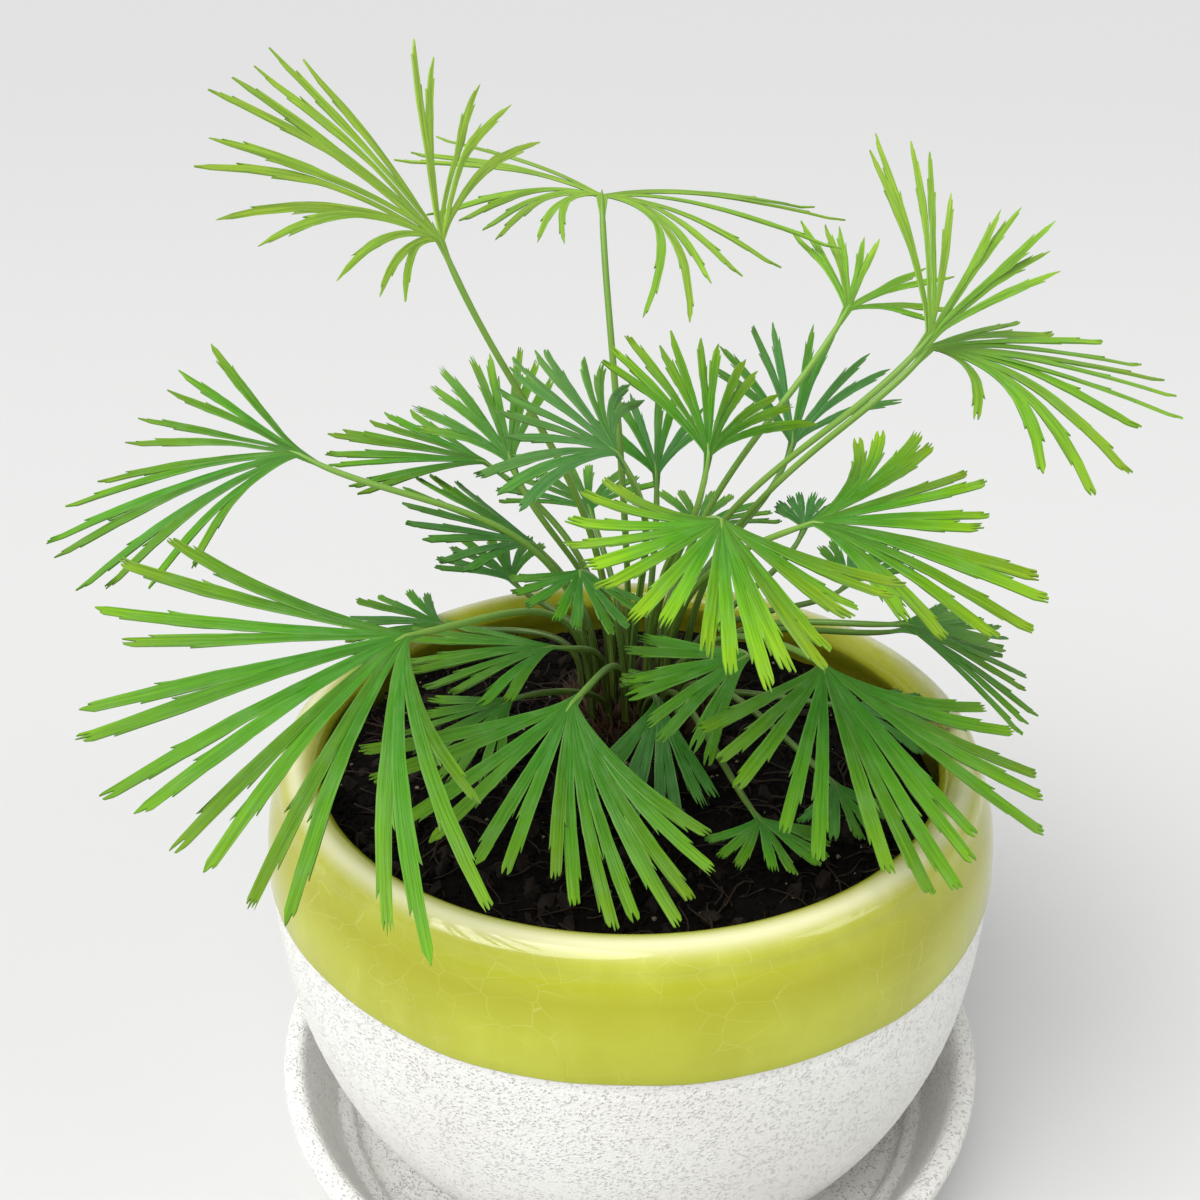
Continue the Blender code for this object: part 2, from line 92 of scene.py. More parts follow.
# hub: where the blade meets its stipe. aim: heading and rise of the stipe as it reaches the hub.
# roll: turn of the blade's plane about that. age: 0 a new yellow-green blade, 1 an old blue-green one.
# fans: (from, to, lobes, reach at the start, middle and end). lift: how far it grows up before it leans.
FRONDS = (
    Frond((-29, 0, 173), (143, 61), -6, 0.25,
          ((-122, -93, 3, 15, 19, 25), (-80, -17, 9, 36, 43, 33), (20, 66, 5, 37, 41, 44))),
    Frond((-5, 36, 174), (90, 13), -9, 0.55,
          ((-165, -155, 2, 21, 23, 25), (-140, -109, 4, 29, 27, 32), (-77, -52, 3, 39, 41, 41),
           (60, 84, 3, 49, 48, 45), (109, 144, 3, 35, 33, 32), (160, 171, 2, 42, 41, 40))),
    Frond((39, 31, 155), (61, 22), -23, 0.45,
          ((-50, -6, 6, 23, 27, 25), (16, 57, 4, 26, 26, 17)), 0.1, 0.5),
    Frond((47, 0, 158), (53, 18), -44, 0.5,
          ((-53, -25, 5, 39, 43, 34), (-11, 13, 5, 38, 45, 37)), 0.05),
    Frond((49, 8, 154), (60, 4), -8, 0.4,
          ((12, 89, 8, 29, 41, 36), (106, 146, 5, 34, 42, 25))),
    Frond((-58, 13, 134), (157, 9), 23, 0.6,
          ((-86, -26, 8, 30, 45, 38), (-12, 34, 5, 34, 38, 44)), 0.1, 0.6),
    Frond((-33, -33, 122), (-138, -10), 21, 0.5,
          ((-76, -50, 4, 30, 47, 47), (-36, 27, 8, 48, 45, 47), (40, 71, 4, 43, 48, 47))),
    Frond((-9, -25, 106), (-120, -22), 20, 0.4,
          ((-74, -24, 8, 31, 38, 31), (-12, 46, 6, 30, 33, 33)), 0.03),
    Frond((31, -20, 110), (-92, -16), 16, 0.5,
          ((-98, -60, 5, 30, 39, 40), (-44, -10, 5, 35, 39, 37), (4, 54, 5, 37, 32, 27))),
    Frond((13, -32, 140), (-93, -14), 13, 0.05,
          ((-90, -52, 4, 29, 24, 24), (-36, 5, 6, 27, 30, 27), (18, 68, 5, 26, 25, 24),
           (82, 114, 3, 24, 22, 21))),
    Frond((30, -6, 129), (-16, 0), -16, 0.15,
          ((-86, -60, 4, 30, 36, 35), (-46, -12, 4, 34, 31, 28), (4, 48, 6, 35, 37, 25))),
    Frond((13, 2, 138), (93, 43), -26, 0.45,
          ((-52, -34, 3, 24, 27, 27), (-22, 10, 4, 23, 26, 25), (20, 62, 5, 25, 24, 26))),
    Frond((-21, 15, 132), (111, 42), 18, 0.6, ((-48, 38, 9, 20, 26, 20),)),
    Frond((-28, 34, 125), (180, 10), 10, 0.6, ((-35, 50, 9, 26, 31, 28),)),
    Frond((-18, 22, 113), (-165, 27), 11, 0.75, ((-45, 50, 9, 23, 27, 24),)),
    Frond((-2, -9, 142), (178, 36), 13, 0.85,
          ((-65, -50, 3, 27, 29, 30), (-34, -6, 3, 22, 23, 23), (12, 46, 4, 24, 26, 26),
           (60, 94, 4, 26, 25, 24))),
    Frond((5, 25, 126), (100, 50), 0, 0.8, ((-50, 50, 8, 16, 19, 16),)),
    Frond((31, 34, 129), (86, 57), -18, 0.85, ((-50, 62, 9, 23, 27, 26),)),
    Frond((-8, -10, 122), (-88, -9), 14, 0.7, ((-75, 75, 9, 12, 15, 13),), 0.1, 0.6),
    Frond((-13, -8, 107), (-150, 6), 0, 0.55, ((-42, 60, 9, 19, 26, 24),)),
    Frond((-20, -12, 99), (-150, -20), 0, 0.15, ((-60, 60, 9, 18, 20, 18),), 0.1, 0.2),
    Frond((5, -11, 98), (-85, -40), 0, 0.8, ((-30, 50, 8, 18, 20, 18),), 0.1, 0.2),
    Frond((5, -13, 104), (180, 0), 0, 0.0, ((-35, 35, 5, 6, 7, 6),), 0.1, 0.3),
    Frond((19, -15, 109), (-150, -10), 35, 0.55, ((-40, 45, 8, 19, 21, 19),)),
    Frond((21, -29, 87), (-70, 0), 10, 0.6, ((-75, 75, 9, 11, 14, 12),)),
    Frond((34, -22, 89), (-80, -5), 0, 0.75, ((-50, 50, 7, 10, 13, 11),)),
    Frond((40, -2, 92), (-5, -5), 0, 0.9, ((-50, 60, 8, 14, 18, 15),), 0.1, 0.2),
    Frond((48, 1, 107), (19, -22), -17, 0.6, ((-40, 52, 9, 22, 27, 26),)),
    Frond((52, 20, 96), (10, 0), 0, 0.8, ((-40, 45, 8, 18, 21, 18),)),
    Frond((-38, 30, 92), (165, 5), 0, 0.75, ((-50, 60, 8, 18, 22, 17),)),
    Frond((-24, 38, 98), (120, 15), 0, 0.7, ((-50, 50, 8, 17, 20, 18),)),
    Frond((33, 25, 115), (90, 30), 0, 0.9, ((-45, 45, 7, 8, 10, 9),), 0.1, 0.35),
    Frond((44, 36, 98), (60, 20), 0, 0.8, ((-45, 45, 8, 15, 18, 15),)),
    Frond((-8, 42, 112), (105, 8), 0, 0.7, ((-60, 60, 9, 20, 24, 20),)),
    Frond((14, 46, 106), (80, 5), 0, 0.65, ((-60, 60, 9, 20, 23, 20),)),
)


# Colours, nodes and meshes

def linear(code, alpha=1.0):
    """An sRGB hex colour as linear red, green, blue and alpha."""
    parts = [int(code[place:place + 2], 16) / 255 for place in (0, 2, 4)]
    return (*(c / 12.92 if c <= 0.04045 else ((c + 0.055) / 1.055) ** 2.4 for c in parts), alpha)


def feed(made, inputs):
    """Sets a node's inputs, in order or by name or number: each a value, or an output to link from."""
    for name, value in inputs.items() if isinstance(inputs, dict) else enumerate(inputs):
        if isinstance(value, bpy.types.NodeSocket):
            made.id_data.links.new(value, made.inputs[name])
        else:
            made.inputs[name].default_value = value


def add(tree, kind, inputs=(), out=0, **settings):
    """Adds a node with its settings and inputs, and returns one of its outputs.

    kind is the node's type, and leaves out the word ShaderNode that most of them start with.
    """
    made = tree.nodes.new(kind if "Node" in kind else f"ShaderNode{kind}")
    for name, value in settings.items():
        setattr(made, name, value)
    feed(made, inputs)
    return made.outputs[out] if made.outputs else made


def coated(node, colour, *coats):
    """A colour with others laid over it in order, each coat as (how much, its colour)."""
    for much, over in coats:
        colour = node("Mix", {0: much, 6: colour, 7: over}, out=2, data_type="RGBA")
    return colour


def run_through(ramp, stops):
    """Sets a ramp's colours, each stop as (place, colour)."""
    line = ramp.node.color_ramp.elements
    line[0].position, line[0].color = stops[0]
    line[1].position, line[1].color = stops[-1]
    for place, colour in stops[1:-1]:
        line.new(place).color = colour


def finish_of(name):
    """A new material: (material, what adds a node to it, its shader)."""
    made = bpy.data.materials.new(name)
    made.use_nodes = True
    return made, partial(add, made.node_tree), made.node_tree.nodes["Principled BSDF"]


def new_tree(name, **inputs):
    """A Geometry Nodes tree with named inputs and their defaults.

    Returns what adds a node to it, and the outputs that give its inputs.
    """
    tree = bpy.data.node_groups.new(name, "GeometryNodeTree")
    ask = tree.interface.new_socket
    ask("Geometry", in_out="INPUT", socket_type="NodeSocketGeometry")
    for label, value in inputs.items():
        kind = "NodeSocketInt" if isinstance(value, int) else "NodeSocketFloat"
        ask(label.replace("_", " ").capitalize(), in_out="INPUT", socket_type=kind).default_value = value
    ask("Finish", in_out="INPUT", socket_type="NodeSocketMaterial")
    ask("Geometry", in_out="OUTPUT", socket_type="NodeSocketGeometry")
    node = partial(add, tree)
    return node, node("NodeGroupInput").node.outputs


def end_tree(node, shape, finish):
    """Ends a tree and returns it: its copies made real and its finish set."""
    real = node("GeometryNodeRealizeInstances", {"Geometry": shape})
    done = node("GeometryNodeSetMaterial", {"Geometry": real, "Material": finish})
    return node("NodeGroupOutput", (done,)).id_data


def home():
    """The collection that the pieces stand in, made once."""
    found = bpy.data.collections.get(COLLECTION)
    if not found:
        found = bpy.data.collections.new(COLLECTION)
        bpy.context.scene.collection.children.link(found)
    return found


def mesh_object(name, points, faces, materials=(), edges=()):
    """An object from points in millimetres, its place in its mesh."""
    mesh = bpy.data.meshes.new(name)
    mesh.from_pydata((np.asarray(points, float) * MM).tolist(), list(edges), faces)
    for finish in materials:
        mesh.materials.append(finish)
    made = bpy.data.objects.new(name, mesh)
    home().objects.link(made)
    return made


def point_values(mesh, name, values, kind="FLOAT"):
    """Stores one value, or a vector or a colour, for each point of a mesh."""
    layer = mesh.attributes.new(name, kind, "POINT")
    field = {"FLOAT": "value", "FLOAT_COLOR": "color", "FLOAT_VECTOR": "vector"}[kind]
    layer.data.foreach_set(field, np.asarray(values, np.float32).ravel())


def smooth(mesh, degrees):
    """Smooth shading, with every fold above an angle kept sharp."""
    mesh.shade_smooth()
    mesh.set_sharp_from_angle(angle=math.radians(degrees))


def turned(outline, steps):
    """Points and faces of a closed body turned round Z from (radius, height) points, facing outwards."""
    outline = [tuple(point) for point in outline]
    angles = np.arange(steps) * math.tau / steps
    points, rings = [], []
    for radius, height in outline:
        if radius < 1e-6:
            rings.append([len(points)] * steps)
            points.append((0.0, 0.0, height))
        else:
            rings.append(list(range(len(points), len(points) + steps)))
            points += [(radius * math.cos(a), radius * math.sin(a), height) for a in angles]
    if outline[0][0] > 1e-6:
        rings.append(rings[0])
    faces = []
    for low, high in zip(rings, rings[1:]):
        for step in range(steps):
            after = (step + 1) % steps
            corner = [low[step], low[after], high[after], high[step]]
            faces.append([c for place, c in enumerate(corner) if c != corner[place - 1]])
    points = np.array(points)
    volume = 0.0
    for face in faces:
        for second, third in zip(face[1:], face[2:]):
            volume += np.dot(points[face[0]], np.cross(points[second], points[third]))
    if volume < 0:
        faces = [face[::-1] for face in faces]
    return points, faces


def softened(outline, rounds):
    """The outline with its corners cut again and again, its first and last points kept."""
    for _ in range(rounds):
        cut = [outline[0]]
        for a, b in zip(outline, outline[1:]):
            a, b = np.array(a), np.array(b)
            cut += [tuple(a * 0.75 + b * 0.25), tuple(a * 0.25 + b * 0.75)]
        outline = [*cut, outline[-1]]
    return outline


def dressed(piece, slot, *nodes):
    """Hands a finished piece to the frame."""
    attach(piece, BODY)
    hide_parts(*nodes)
    return piece


def plain_mesh(piece):
    """Turns what the piece's modifiers make into its mesh, and takes them off."""
    graph = bpy.context.evaluated_depsgraph_get()
    graph.update()
    made = bpy.data.meshes.new_from_object(piece.evaluated_get(graph), preserve_all_data_layers=True,
                                           depsgraph=graph)
    piece.modifiers.clear()
    piece.data = made
    return made


# Finishes

def leaf_finish(looks):
    """Living frond, a thin leathery leaf: a soft waxy gloss, fine veins along each lobe."""
    made, node, shader = finish_of("fern_leaf_cuticle")
    growth = node("Attribute", attribute_name="growth")
    age, draw, share = node("SeparateColor", (growth,)).node.outputs
    upper = growth.node.outputs["Alpha"]
    margin = node("Attribute", out="Fac", attribute_name="margin")
    young = node("ValToRGB", (share,))
    old = node("ValToRGB", (share,))
    run_through(young, looks.young_colours())
    run_through(old, looks.old_colours())
    colour = coated(node, young, (age, old))
    tone = node("MapRange", (draw, 0, 1, 0.84, 1.16))
    hue = node("MapRange", (draw, 0, 1, 0.488, 0.512))
    colour = node("HueSaturation", {0: hue, 2: tone, 4: colour})
    grey = node("MapRange", (age, 0.68, 0.9, 0.0, 0.5))
    # painted light and shade: blades above the rim are painted paler as if lit, and the ones among the
    # stalks, low and near the middle, a deeper green as painted shade
    spot = node("TexCoord", out="Object")
    height = node("SeparateXYZ", (spot,), out=2)
    level = node("VectorMath", (spot, (1.0, 1.0, 0.0)), operation="MULTIPLY")
    outward = node("VectorMath", (level,), out="Value", operation="LENGTH")
    high = node("MapRange", (height, 0.14, 0.175, 0.0, 0.55))
    fresh = node("MapRange", (age, 0, 1, 1.3, 0.5))
    high = node("Math", (high, fresh), operation="MULTIPLY")
    low = node("MapRange", (height, 0.155, 0.098, 0.06, 0.78))
    inner = node("MapRange", (outward, 0.06, 0.022, 0.4, 1.0))
    inner = node("Math", (low, inner), operation="MULTIPLY")
    # the oldest blades carry a grey bloom; over it go the painted light up high and the painted shade low
    # down
    colour = coated(node, colour, (grey, looks.grey), (high, looks.pale), (inner, looks.deep))
    # veins stand about 0.4 mm apart: the leaf's own map holds millimetres, across and along the lobe
    place = node("UVMap", uv_map="leaf")
    along = node("Mapping", {0: place, 3: (1.0, 0.03, 1.0)})
    veins = node("TexNoise", {"Vector": along, "Scale": 2.6, "Detail": 2.0, "Roughness": 0.6})
    streak = node("MapRange", (veins, 0.35, 0.65))
    between = node("MapRange", (streak, 0, 1, 0.4, 0.0))
    patchy = node("TexNoise", {"Vector": place, "Scale": 0.25, "Detail": 3.0})
    patchy = node("MapRange", (patchy, 0.45, 0.75, 0.0, 0.2))
    edge = node("MapRange", (margin, 0.8, 1.0, 0.0, 0.12))
    colour = coated(node, colour, (between, looks.vein_shade), (patchy, looks.bloom), (edge, looks.margin))
    pale = coated(node, colour, (0.35, looks.underside))
    colour = coated(node, pale, (upper, colour))
    bump = node("Bump", {"Strength": 0.5, "Distance": 0.00016, "Height": streak})
    rough = node("MapRange", (veins, 0.3, 0.7, 0.42, 0.56))
    looks_of = {"Base Color": colour, "Normal": bump, "Roughness": rough}
    feed(shader, {**looks_of, "IOR": 1.42, "Specular IOR Level": 0.3})
    return made


def stipe_finish(looks):
    """Living stalk: smooth green skin, lighter up high, olive and brown near the crown, faintly ribbed."""
    made, node, shader = finish_of("fern_stalk_skin")
    growth = node("Attribute", attribute_name="growth")
    age, draw, share = node("SeparateColor", (growth,)).node.outputs
    # its map is its ring across, and along it one unit for 20 mm from its foot in the soil
    # it is brown at 7 mm, olive by 26 mm and full green by 70 mm
    place = node("Attribute", out="Vector", attribute_name="stalk")
    up = node("SeparateXYZ", (place,), out=2)
    ramp = node("ValToRGB", (node("MapRange", (up, 0.35, 3.5)),))
    stops = (0.0, "2E1E0C"), (0.1, "463E14"), (0.3, "55701C"), (0.6, "6C962C"), (1.0, "7FA83C")
    run_through(ramp, [(place, linear(code)) for place, code in stops])
    old = node("Math", (age, 0.45), operation="MULTIPLY")
    tone = node("MapRange", (draw, 0, 1, 0.85, 1.12))
    colour = node("HueSaturation", {2: tone, 4: coated(node, ramp, (old, linear("4B7A3A")))})
    # painted shade: stalks low down among the fronds are darkened by their height
    height = node("SeparateXYZ", (node("TexCoord", out="Object"),), out=2)
    low = node("MapRange", (height, 0.112, 0.086, 0.0, 0.7))
    # ribs stand about 0.3 mm apart round the stalk and run 8 mm along it
    ribs = node("TexNoise", {"Vector": place, "Scale": 2.6, "Detail": 2.0})
    ridge = node("MapRange", (ribs, 0.5, 0.7, 0.0, 0.4))
    groove = node("Attribute", out="Fac", attribute_name="margin")
    groove = node("Math", (groove, 0.5), operation="MULTIPLY")
    coats = (low, linear("33430F")), (ridge, linear("93B45C")), (groove, linear("2E5A22"))
    colour = coated(node, colour, *coats)
    bump = node("Bump", {"Strength": 0.3, "Distance": 0.0001, "Height": ribs})
    feed(shader, {"Base Color": colour, "Normal": bump, "Roughness": 0.42, "IOR": 1.42})
    return made


def bisque_surface(node, pale, shade):
    """Colour and height outputs of bare fired clay: open pits and grog from 0.3 to 1 mm across."""
    place = node("TexCoord", out="Object")
    pits = node("TexVoronoi", {"Vector": place, "Scale": 1650.0})
    cloud = node("TexNoise", {"Vector": place, "Scale": 520.0, "Detail": 4.0, "Roughness": 0.7})
    wide = node("TexNoise", {"Vector": place, "Scale": 22.0, "Detail": 3.0})
    grain = node("TexNoise", {"Vector": place, "Scale": 1900.0, "Detail": 3.0, "Roughness": 0.65})
    pits = node("MapRange", (pits, 0.45, 0.2))
    cloud = node("MapRange", (cloud, 0.38, 0.55))
    open_pit = node("Math", (pits, cloud), operation="MULTIPLY")
    wide = node("MapRange", (wide, 0.35, 0.7))
    dark = node("Math", (open_pit, 0.2), operation="MULTIPLY")
    fleck = node("MapRange", (grain, 0.52, 0.7, 0.0, 0.2))
    colour = coated(node, pale, (wide, shade), (dark, linear("ACA79C")), (fleck, linear("C0BCB2")))
    raised = node("Math", (grain, -1.2), operation="MULTIPLY")
    height = node("Math", (raised, open_pit), operation="SUBTRACT")
    return colour, height


def saucer_finish(looks):
    """Bare bisque stoneware, turned and left unglazed: chalky, matte and finely pitted."""
    made, node, shader = finish_of("saucer_bisque_stoneware")
    colour, height = bisque_surface(node, looks.clay, looks.clay_shade)
    bump = node("Bump", {"Strength": 0.8, "Distance": 0.00042, "Height": height})
    feed(shader, {"Base Color": colour, "Normal": bump, "Roughness": 0.88, "IOR": 1.5})
    return made


def pot_finish(looks):
    """Earthenware with a poured glaze on its upper part: glassy and crazed above, bare pitted clay below."""
    made, node, shader = finish_of("poured_glaze_on_bisque")
    clay, clay_height = bisque_surface(node, looks.clay, looks.clay_shade)
    over = node("Attribute", out="Fac", attribute_name="glaze")
    thin = node("Attribute", out="Fac", attribute_name="thin")
    place = node("TexCoord", out="Object")
    glazed = node("MapRange", (over, -0.12, 0.12))
    cloud = node("TexNoise", {"Vector": place, "Scale": 28.0, "Detail": 4.0, "Roughness": 0.6})
    runs = node("Mapping", {0: place, 3: (1.0, 1.0, 0.25)})
    streaks = node("TexNoise", {"Vector": runs, "Scale": 160.0, "Detail": 3.0})
    deep = node("MapRange", (cloud, 0.3, 0.7))
    streaks = node("MapRange", (streaks, 0.5, 0.75, 0.0, 0.3))
    # the glaze ran off the rim and gathered on the shoulder below it
    below = node("MapRange", (over, 7.0, 12.5, 0.0, 0.8))
    above = node("MapRange", (over, 17.0, 13.0))
    gathered = node("Math", (below, above), operation="MULTIPLY")
    pool = node("MapRange", (over, 2.2, 0.2, 0.0, 0.3))
    # the cream along the rim's crest is partly thin glaze breaking over the rim and partly a painted
    # highlight
    colour = coated(node, looks.glaze, (deep, looks.glaze_deep), (streaks, looks.glaze_light),
                    (gathered, looks.glaze_deep), (thin, looks.glaze_thin_and_highlight), (pool, looks.glaze_pool))
    # crazing: cells near 5 mm with cracks of a hair's width, drawn 0.2 mm wide so that they show
    bent = node("TexNoise", {"Vector": place, "Scale": 60.0, "Detail": 2.0})
    shift = (bent.node.outputs["Color"], (0.006, 0.006, 0.006), place)
    shifted = node("VectorMath", shift, operation="MULTIPLY_ADD")
    # the cells lie longer round the pot than up it
    shifted = node("Mapping", {0: shifted, 3: (1.0, 1.0, 1.7)})
    cells = node("TexVoronoi", {"Vector": shifted, "Scale": 175.0}, feature="DISTANCE_TO_EDGE")
    finer = node("TexVoronoi", {"Vector": shifted, "Scale": 380.0}, feature="DISTANCE_TO_EDGE")
    cells = node("MapRange", (cells, 0.016, 0.004))
    finer = node("MapRange", (finer, 0.03, 0.01))
    where = node("MapRange", (cloud, 0.5, 0.62, 0.0, 0.6))
    finer = node("Math", (finer, where), operation="MULTIPLY")
    crack = node("Math", (cells, finer), operation="MAXIMUM")
    shown = node("MapRange", (bent, 0.42, 0.58, 0.04, 0.2))
    seen = node("Math", (crack, shown), operation="MULTIPLY")
    colour = coated(node, colour, (seen, looks.glaze_crack))
    wavy = node("TexNoise", {"Vector": place, "Scale": 70.0, "Detail": 2.0})
    wavy = node("Math", (wavy, 0.8), operation="MULTIPLY")
    groove = node("Math", (crack, 0.03), operation="MULTIPLY")
    glassy = node("Math", (wavy, groove), operation="SUBTRACT")
    height = node("Mix", {0: glazed, 2: clay_height, 3: glassy}, data_type="FLOAT")
    relief = node("MapRange", (glazed, 0, 1, 0.8, 0.5))
    bump = node("Bump", {"Strength": relief, "Distance": 0.00034, "Height": height})
    rough = node("MapRange", (glazed, 0, 1, 0.88, 0.09))
    colour = coated(node, clay, (glazed, colour))
    feed(shader, {"Base Color": colour, "Normal": bump, "Roughness": rough, "IOR": 1.52})
    return made


def soil_finish(looks):
    """Moist peat and bark potting mix, pressed by hand: near black, with paler fibres and specks of grit."""
    made, node, shader = finish_of("moist_peat_mix")
    place = node("TexCoord", out="Object")
    lumps = node("TexNoise", {"Vector": place, "Scale": 350.0, "Detail": 5.0, "Roughness": 0.7})
    specks = node("TexVoronoi", {"Vector": place, "Scale": 700.0})
    dry = node("MapRange", (lumps, 0.35, 0.7))
    specks = node("MapRange", (specks, 0.16, 0.08, 0.0, 0.5))
    colour = coated(node, looks.soil, (dry, looks.soil_light), (specks, linear("2A2420")))
    bump = node("Bump", {"Strength": 0.8, "Distance": 0.0006, "Height": lumps})
    feed(shader, {"Base Color": colour, "Normal": bump, "Roughness": 0.85, "Specular IOR Level": 0.1})
    return made


def plain_finish(name, first, second, scale, roughness):
    """A matte finish of two tones in patches of about 1/scale metres."""
    made, node, shader = finish_of(name)
    place = node("TexCoord", out="Object")
    patches = node("TexNoise", {"Vector": place, "Scale": scale, "Detail": 3.0})
    worn = node("MapRange", (patches, 0.35, 0.65))
    colour = coated(node, linear(first), (worn, linear(second)))
    bump = node("Bump", {"Strength": 0.4, "Distance": 0.0002, "Height": patches})
    feed(shader, {"Base Color": colour, "Normal": bump, "Roughness": roughness, "Specular IOR Level": 0.25})
    return made


# The rule that grows a frond from its line in the table

def blade_frame(aim, roll):
    """Unit axis, side and upper normal of a blade, from its aim and roll."""
    heading, rise, turn = np.radians((*aim, roll))
    axis = np.array((math.cos(heading) * math.cos(rise), math.sin(heading) * math.cos(rise), math.sin(rise)))
    level = np.array((math.sin(heading), -math.cos(heading), 0.0))
    side = level * math.cos(turn) + np.cross(level, axis) * math.sin(turn)
    return axis, side, np.cross(side, axis)


def jitter(number, lobe, salt):
    """A fixed draw from -1 to 1 for one lobe of one frond, so that every script grows the same plant."""
    return 2 * (math.sin(number * 12.9898 + lobe * 78.233 + salt * 37.719) * 43758.5453 % 1) - 1


def share_drawn(number, lobe, salt):
    """The same draw, from 0 to 1."""
    return 0.5 + 0.5 * jitter(number, lobe, salt)


Lobe = namedtuple("Lobe", "turn reach lift fan mate")
# mate: whether it and the next one fork from one strand


def lobes_of(frond, number):
    """Every lobe, side to side: the lobes of a fan stand in pairs, as their veins fork."""
    lobes = []
    for fan, (start, end, count, first, middle, last) in enumerate(frond.fans):
        for index in range(count):
            t = index / (count - 1)
            pair = min(index // 2 * 2 + 0.5, count - 1.5) if count > 3 else index
            turn = start + (end - start) * (t + 0.25 * (pair - index) / (count - 1))
            reach = first * (1 - t) * (1 - 2 * t) + 4 * middle * t * (1 - t) + last * t * (2 * t - 1)
            reach *= 1 + 0.05 * jitter(number, len(lobes), 1)
            lobes.append(Lobe(turn, reach, 0.035 * jitter(number, len(lobes), 2), fan, index % 2 == 0))
    return lobes


# how slender a frond's lobes are: 1 lance-shaped and pointed, 0 broad with ragged ends
SLENDER = {1: 1.0, 2: 1.0, 3: 0.85, 4: 1.0, 5: 0.5, 6: 0.75, 7: 0.4, 8: 0.12, 12: 0.5, 13: 0.45,
           14: 0.4, 15: 0.3, 16: 0.4, 17: 0.4, 18: 0.6, 28: 0.3}
# how far a frond's lobes stay joined and how long their teeth are: 1 the most
FRINGED = {10: 1.0, 11: 0.5, 16: 0.3, 20: 0.6, 21: 1.0, 22: 0.6, 24: 0.5}


def half_width(reach, share, slender):
    """Half of a lobe's own width: narrow at the hub, widest two thirds out, then tapering if slender."""
    t = np.minimum(1.0, share / (0.76 - 0.14 * slender))
    past = np.clip((share - 0.66) / 0.34, 0, 1)
    widest = 0.4 + 0.009 * reach + (1 - slender) * (0.28 + 0.0095 * reach)
    return widest * (0.2 + 0.8 * t**0.9) * (1 - (0.1 + 0.45 * slender) * past**1.3)


def bezier(a, b, c, d, t):
    t = np.asarray(t, float)[:, None]
    return a * (1 - t) ** 3 + 3 * b * t * (1 - t) ** 2 + 3 * c * t**2 * (1 - t) + d * t**3


def stipe_roots():
    """Where each stipe stands in the crown: towards its hub, the flattest outermost, then pushed apart."""
    centre = np.array(CROWN_CENTRE)
    reach = np.array([frond.hub for frond in FRONDS]) - np.array((*centre, SOIL_TOP))
    limit = CROWN_RADIUS - STIPE_INSET
    roots = reach[:, :2] / np.linalg.norm(reach, axis=1)[:, None] * limit
    for _ in range(400):
        for i in range(len(roots)):
            for j in range(i):
                apart = roots[i] - roots[j]
                distance = np.linalg.norm(apart) or 1e-6
                if distance < STIPE_SPACING:
                    push = apart / distance * (STIPE_SPACING - distance) / 2
                    roots[i] += push
                    roots[j] -= push
        out = np.linalg.norm(roots, axis=1)
        roots *= np.minimum(1.0, limit / out)[:, None]
    return roots + centre


def stipe_line(frond, root, count):
    """Points up a stipe: straight up its socket, then a curve that turns to the blade's axis at the hub."""
    axis = blade_frame(frond.aim, frond.roll)[0]
    foot = np.array((*root, SOIL_TOP - SOCKET_DEPTH + 2))
    start = np.array((*root, SOIL_TOP + CROWN_HEIGHT + 1.0))
    hub = np.array(frond.hub, float)
    chord = hub - start
    span = np.linalg.norm(chord)
    rise = start + np.array((0, 0, frond.lift * span))
    arrive = hub - (axis * 0.5 + chord / span * 0.5) * 0.35 * span
    curve = bezier(start, rise, arrive, hub, np.linspace(0, 1, count))
    return np.vstack((foot, curve))


ACROSS = 8  # points across a lobe
STALK_UNIT = 20.0  # millimetres along a stalk for one unit of its map
# shares of a lobe's reach at which its body has a row of points
BODY_ROWS = np.array((0.0, 0.02, 0.045, 0.075, *np.arange(0.11, 0.64, 0.04).round(2)))
# how far each point across a lobe's end stands out: TEETH for a ragged end, POINTS for a lance-shaped one
TEETH = ((0, 1, 0.05, 0.9, 0.9, 0.05, 0.7, 0.6), (0.7, 0.9, 0.05, 1, 0.05, 0.6, 0.5, 0.05),
         (0.3, 0.8, 0.9, 0.05, 0.05, 1, 0.7, 0), (0.9, 0.05, 0.8, 0.05, 1, 0.05, 0.6, 0.1))
POINTS = ((0, 0.3, 0.62, 0.95, 1, 0.55, 0.25, 0), (0.05, 0.35, 0.7, 1, 0.72, 0.2, 0.42, 0.05),
          (0, 0.4, 0.15, 0.75, 1, 0.7, 0.35, 0))
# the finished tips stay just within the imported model's, by this share of a lobe's reach
TIPS_WITHIN = 0.984


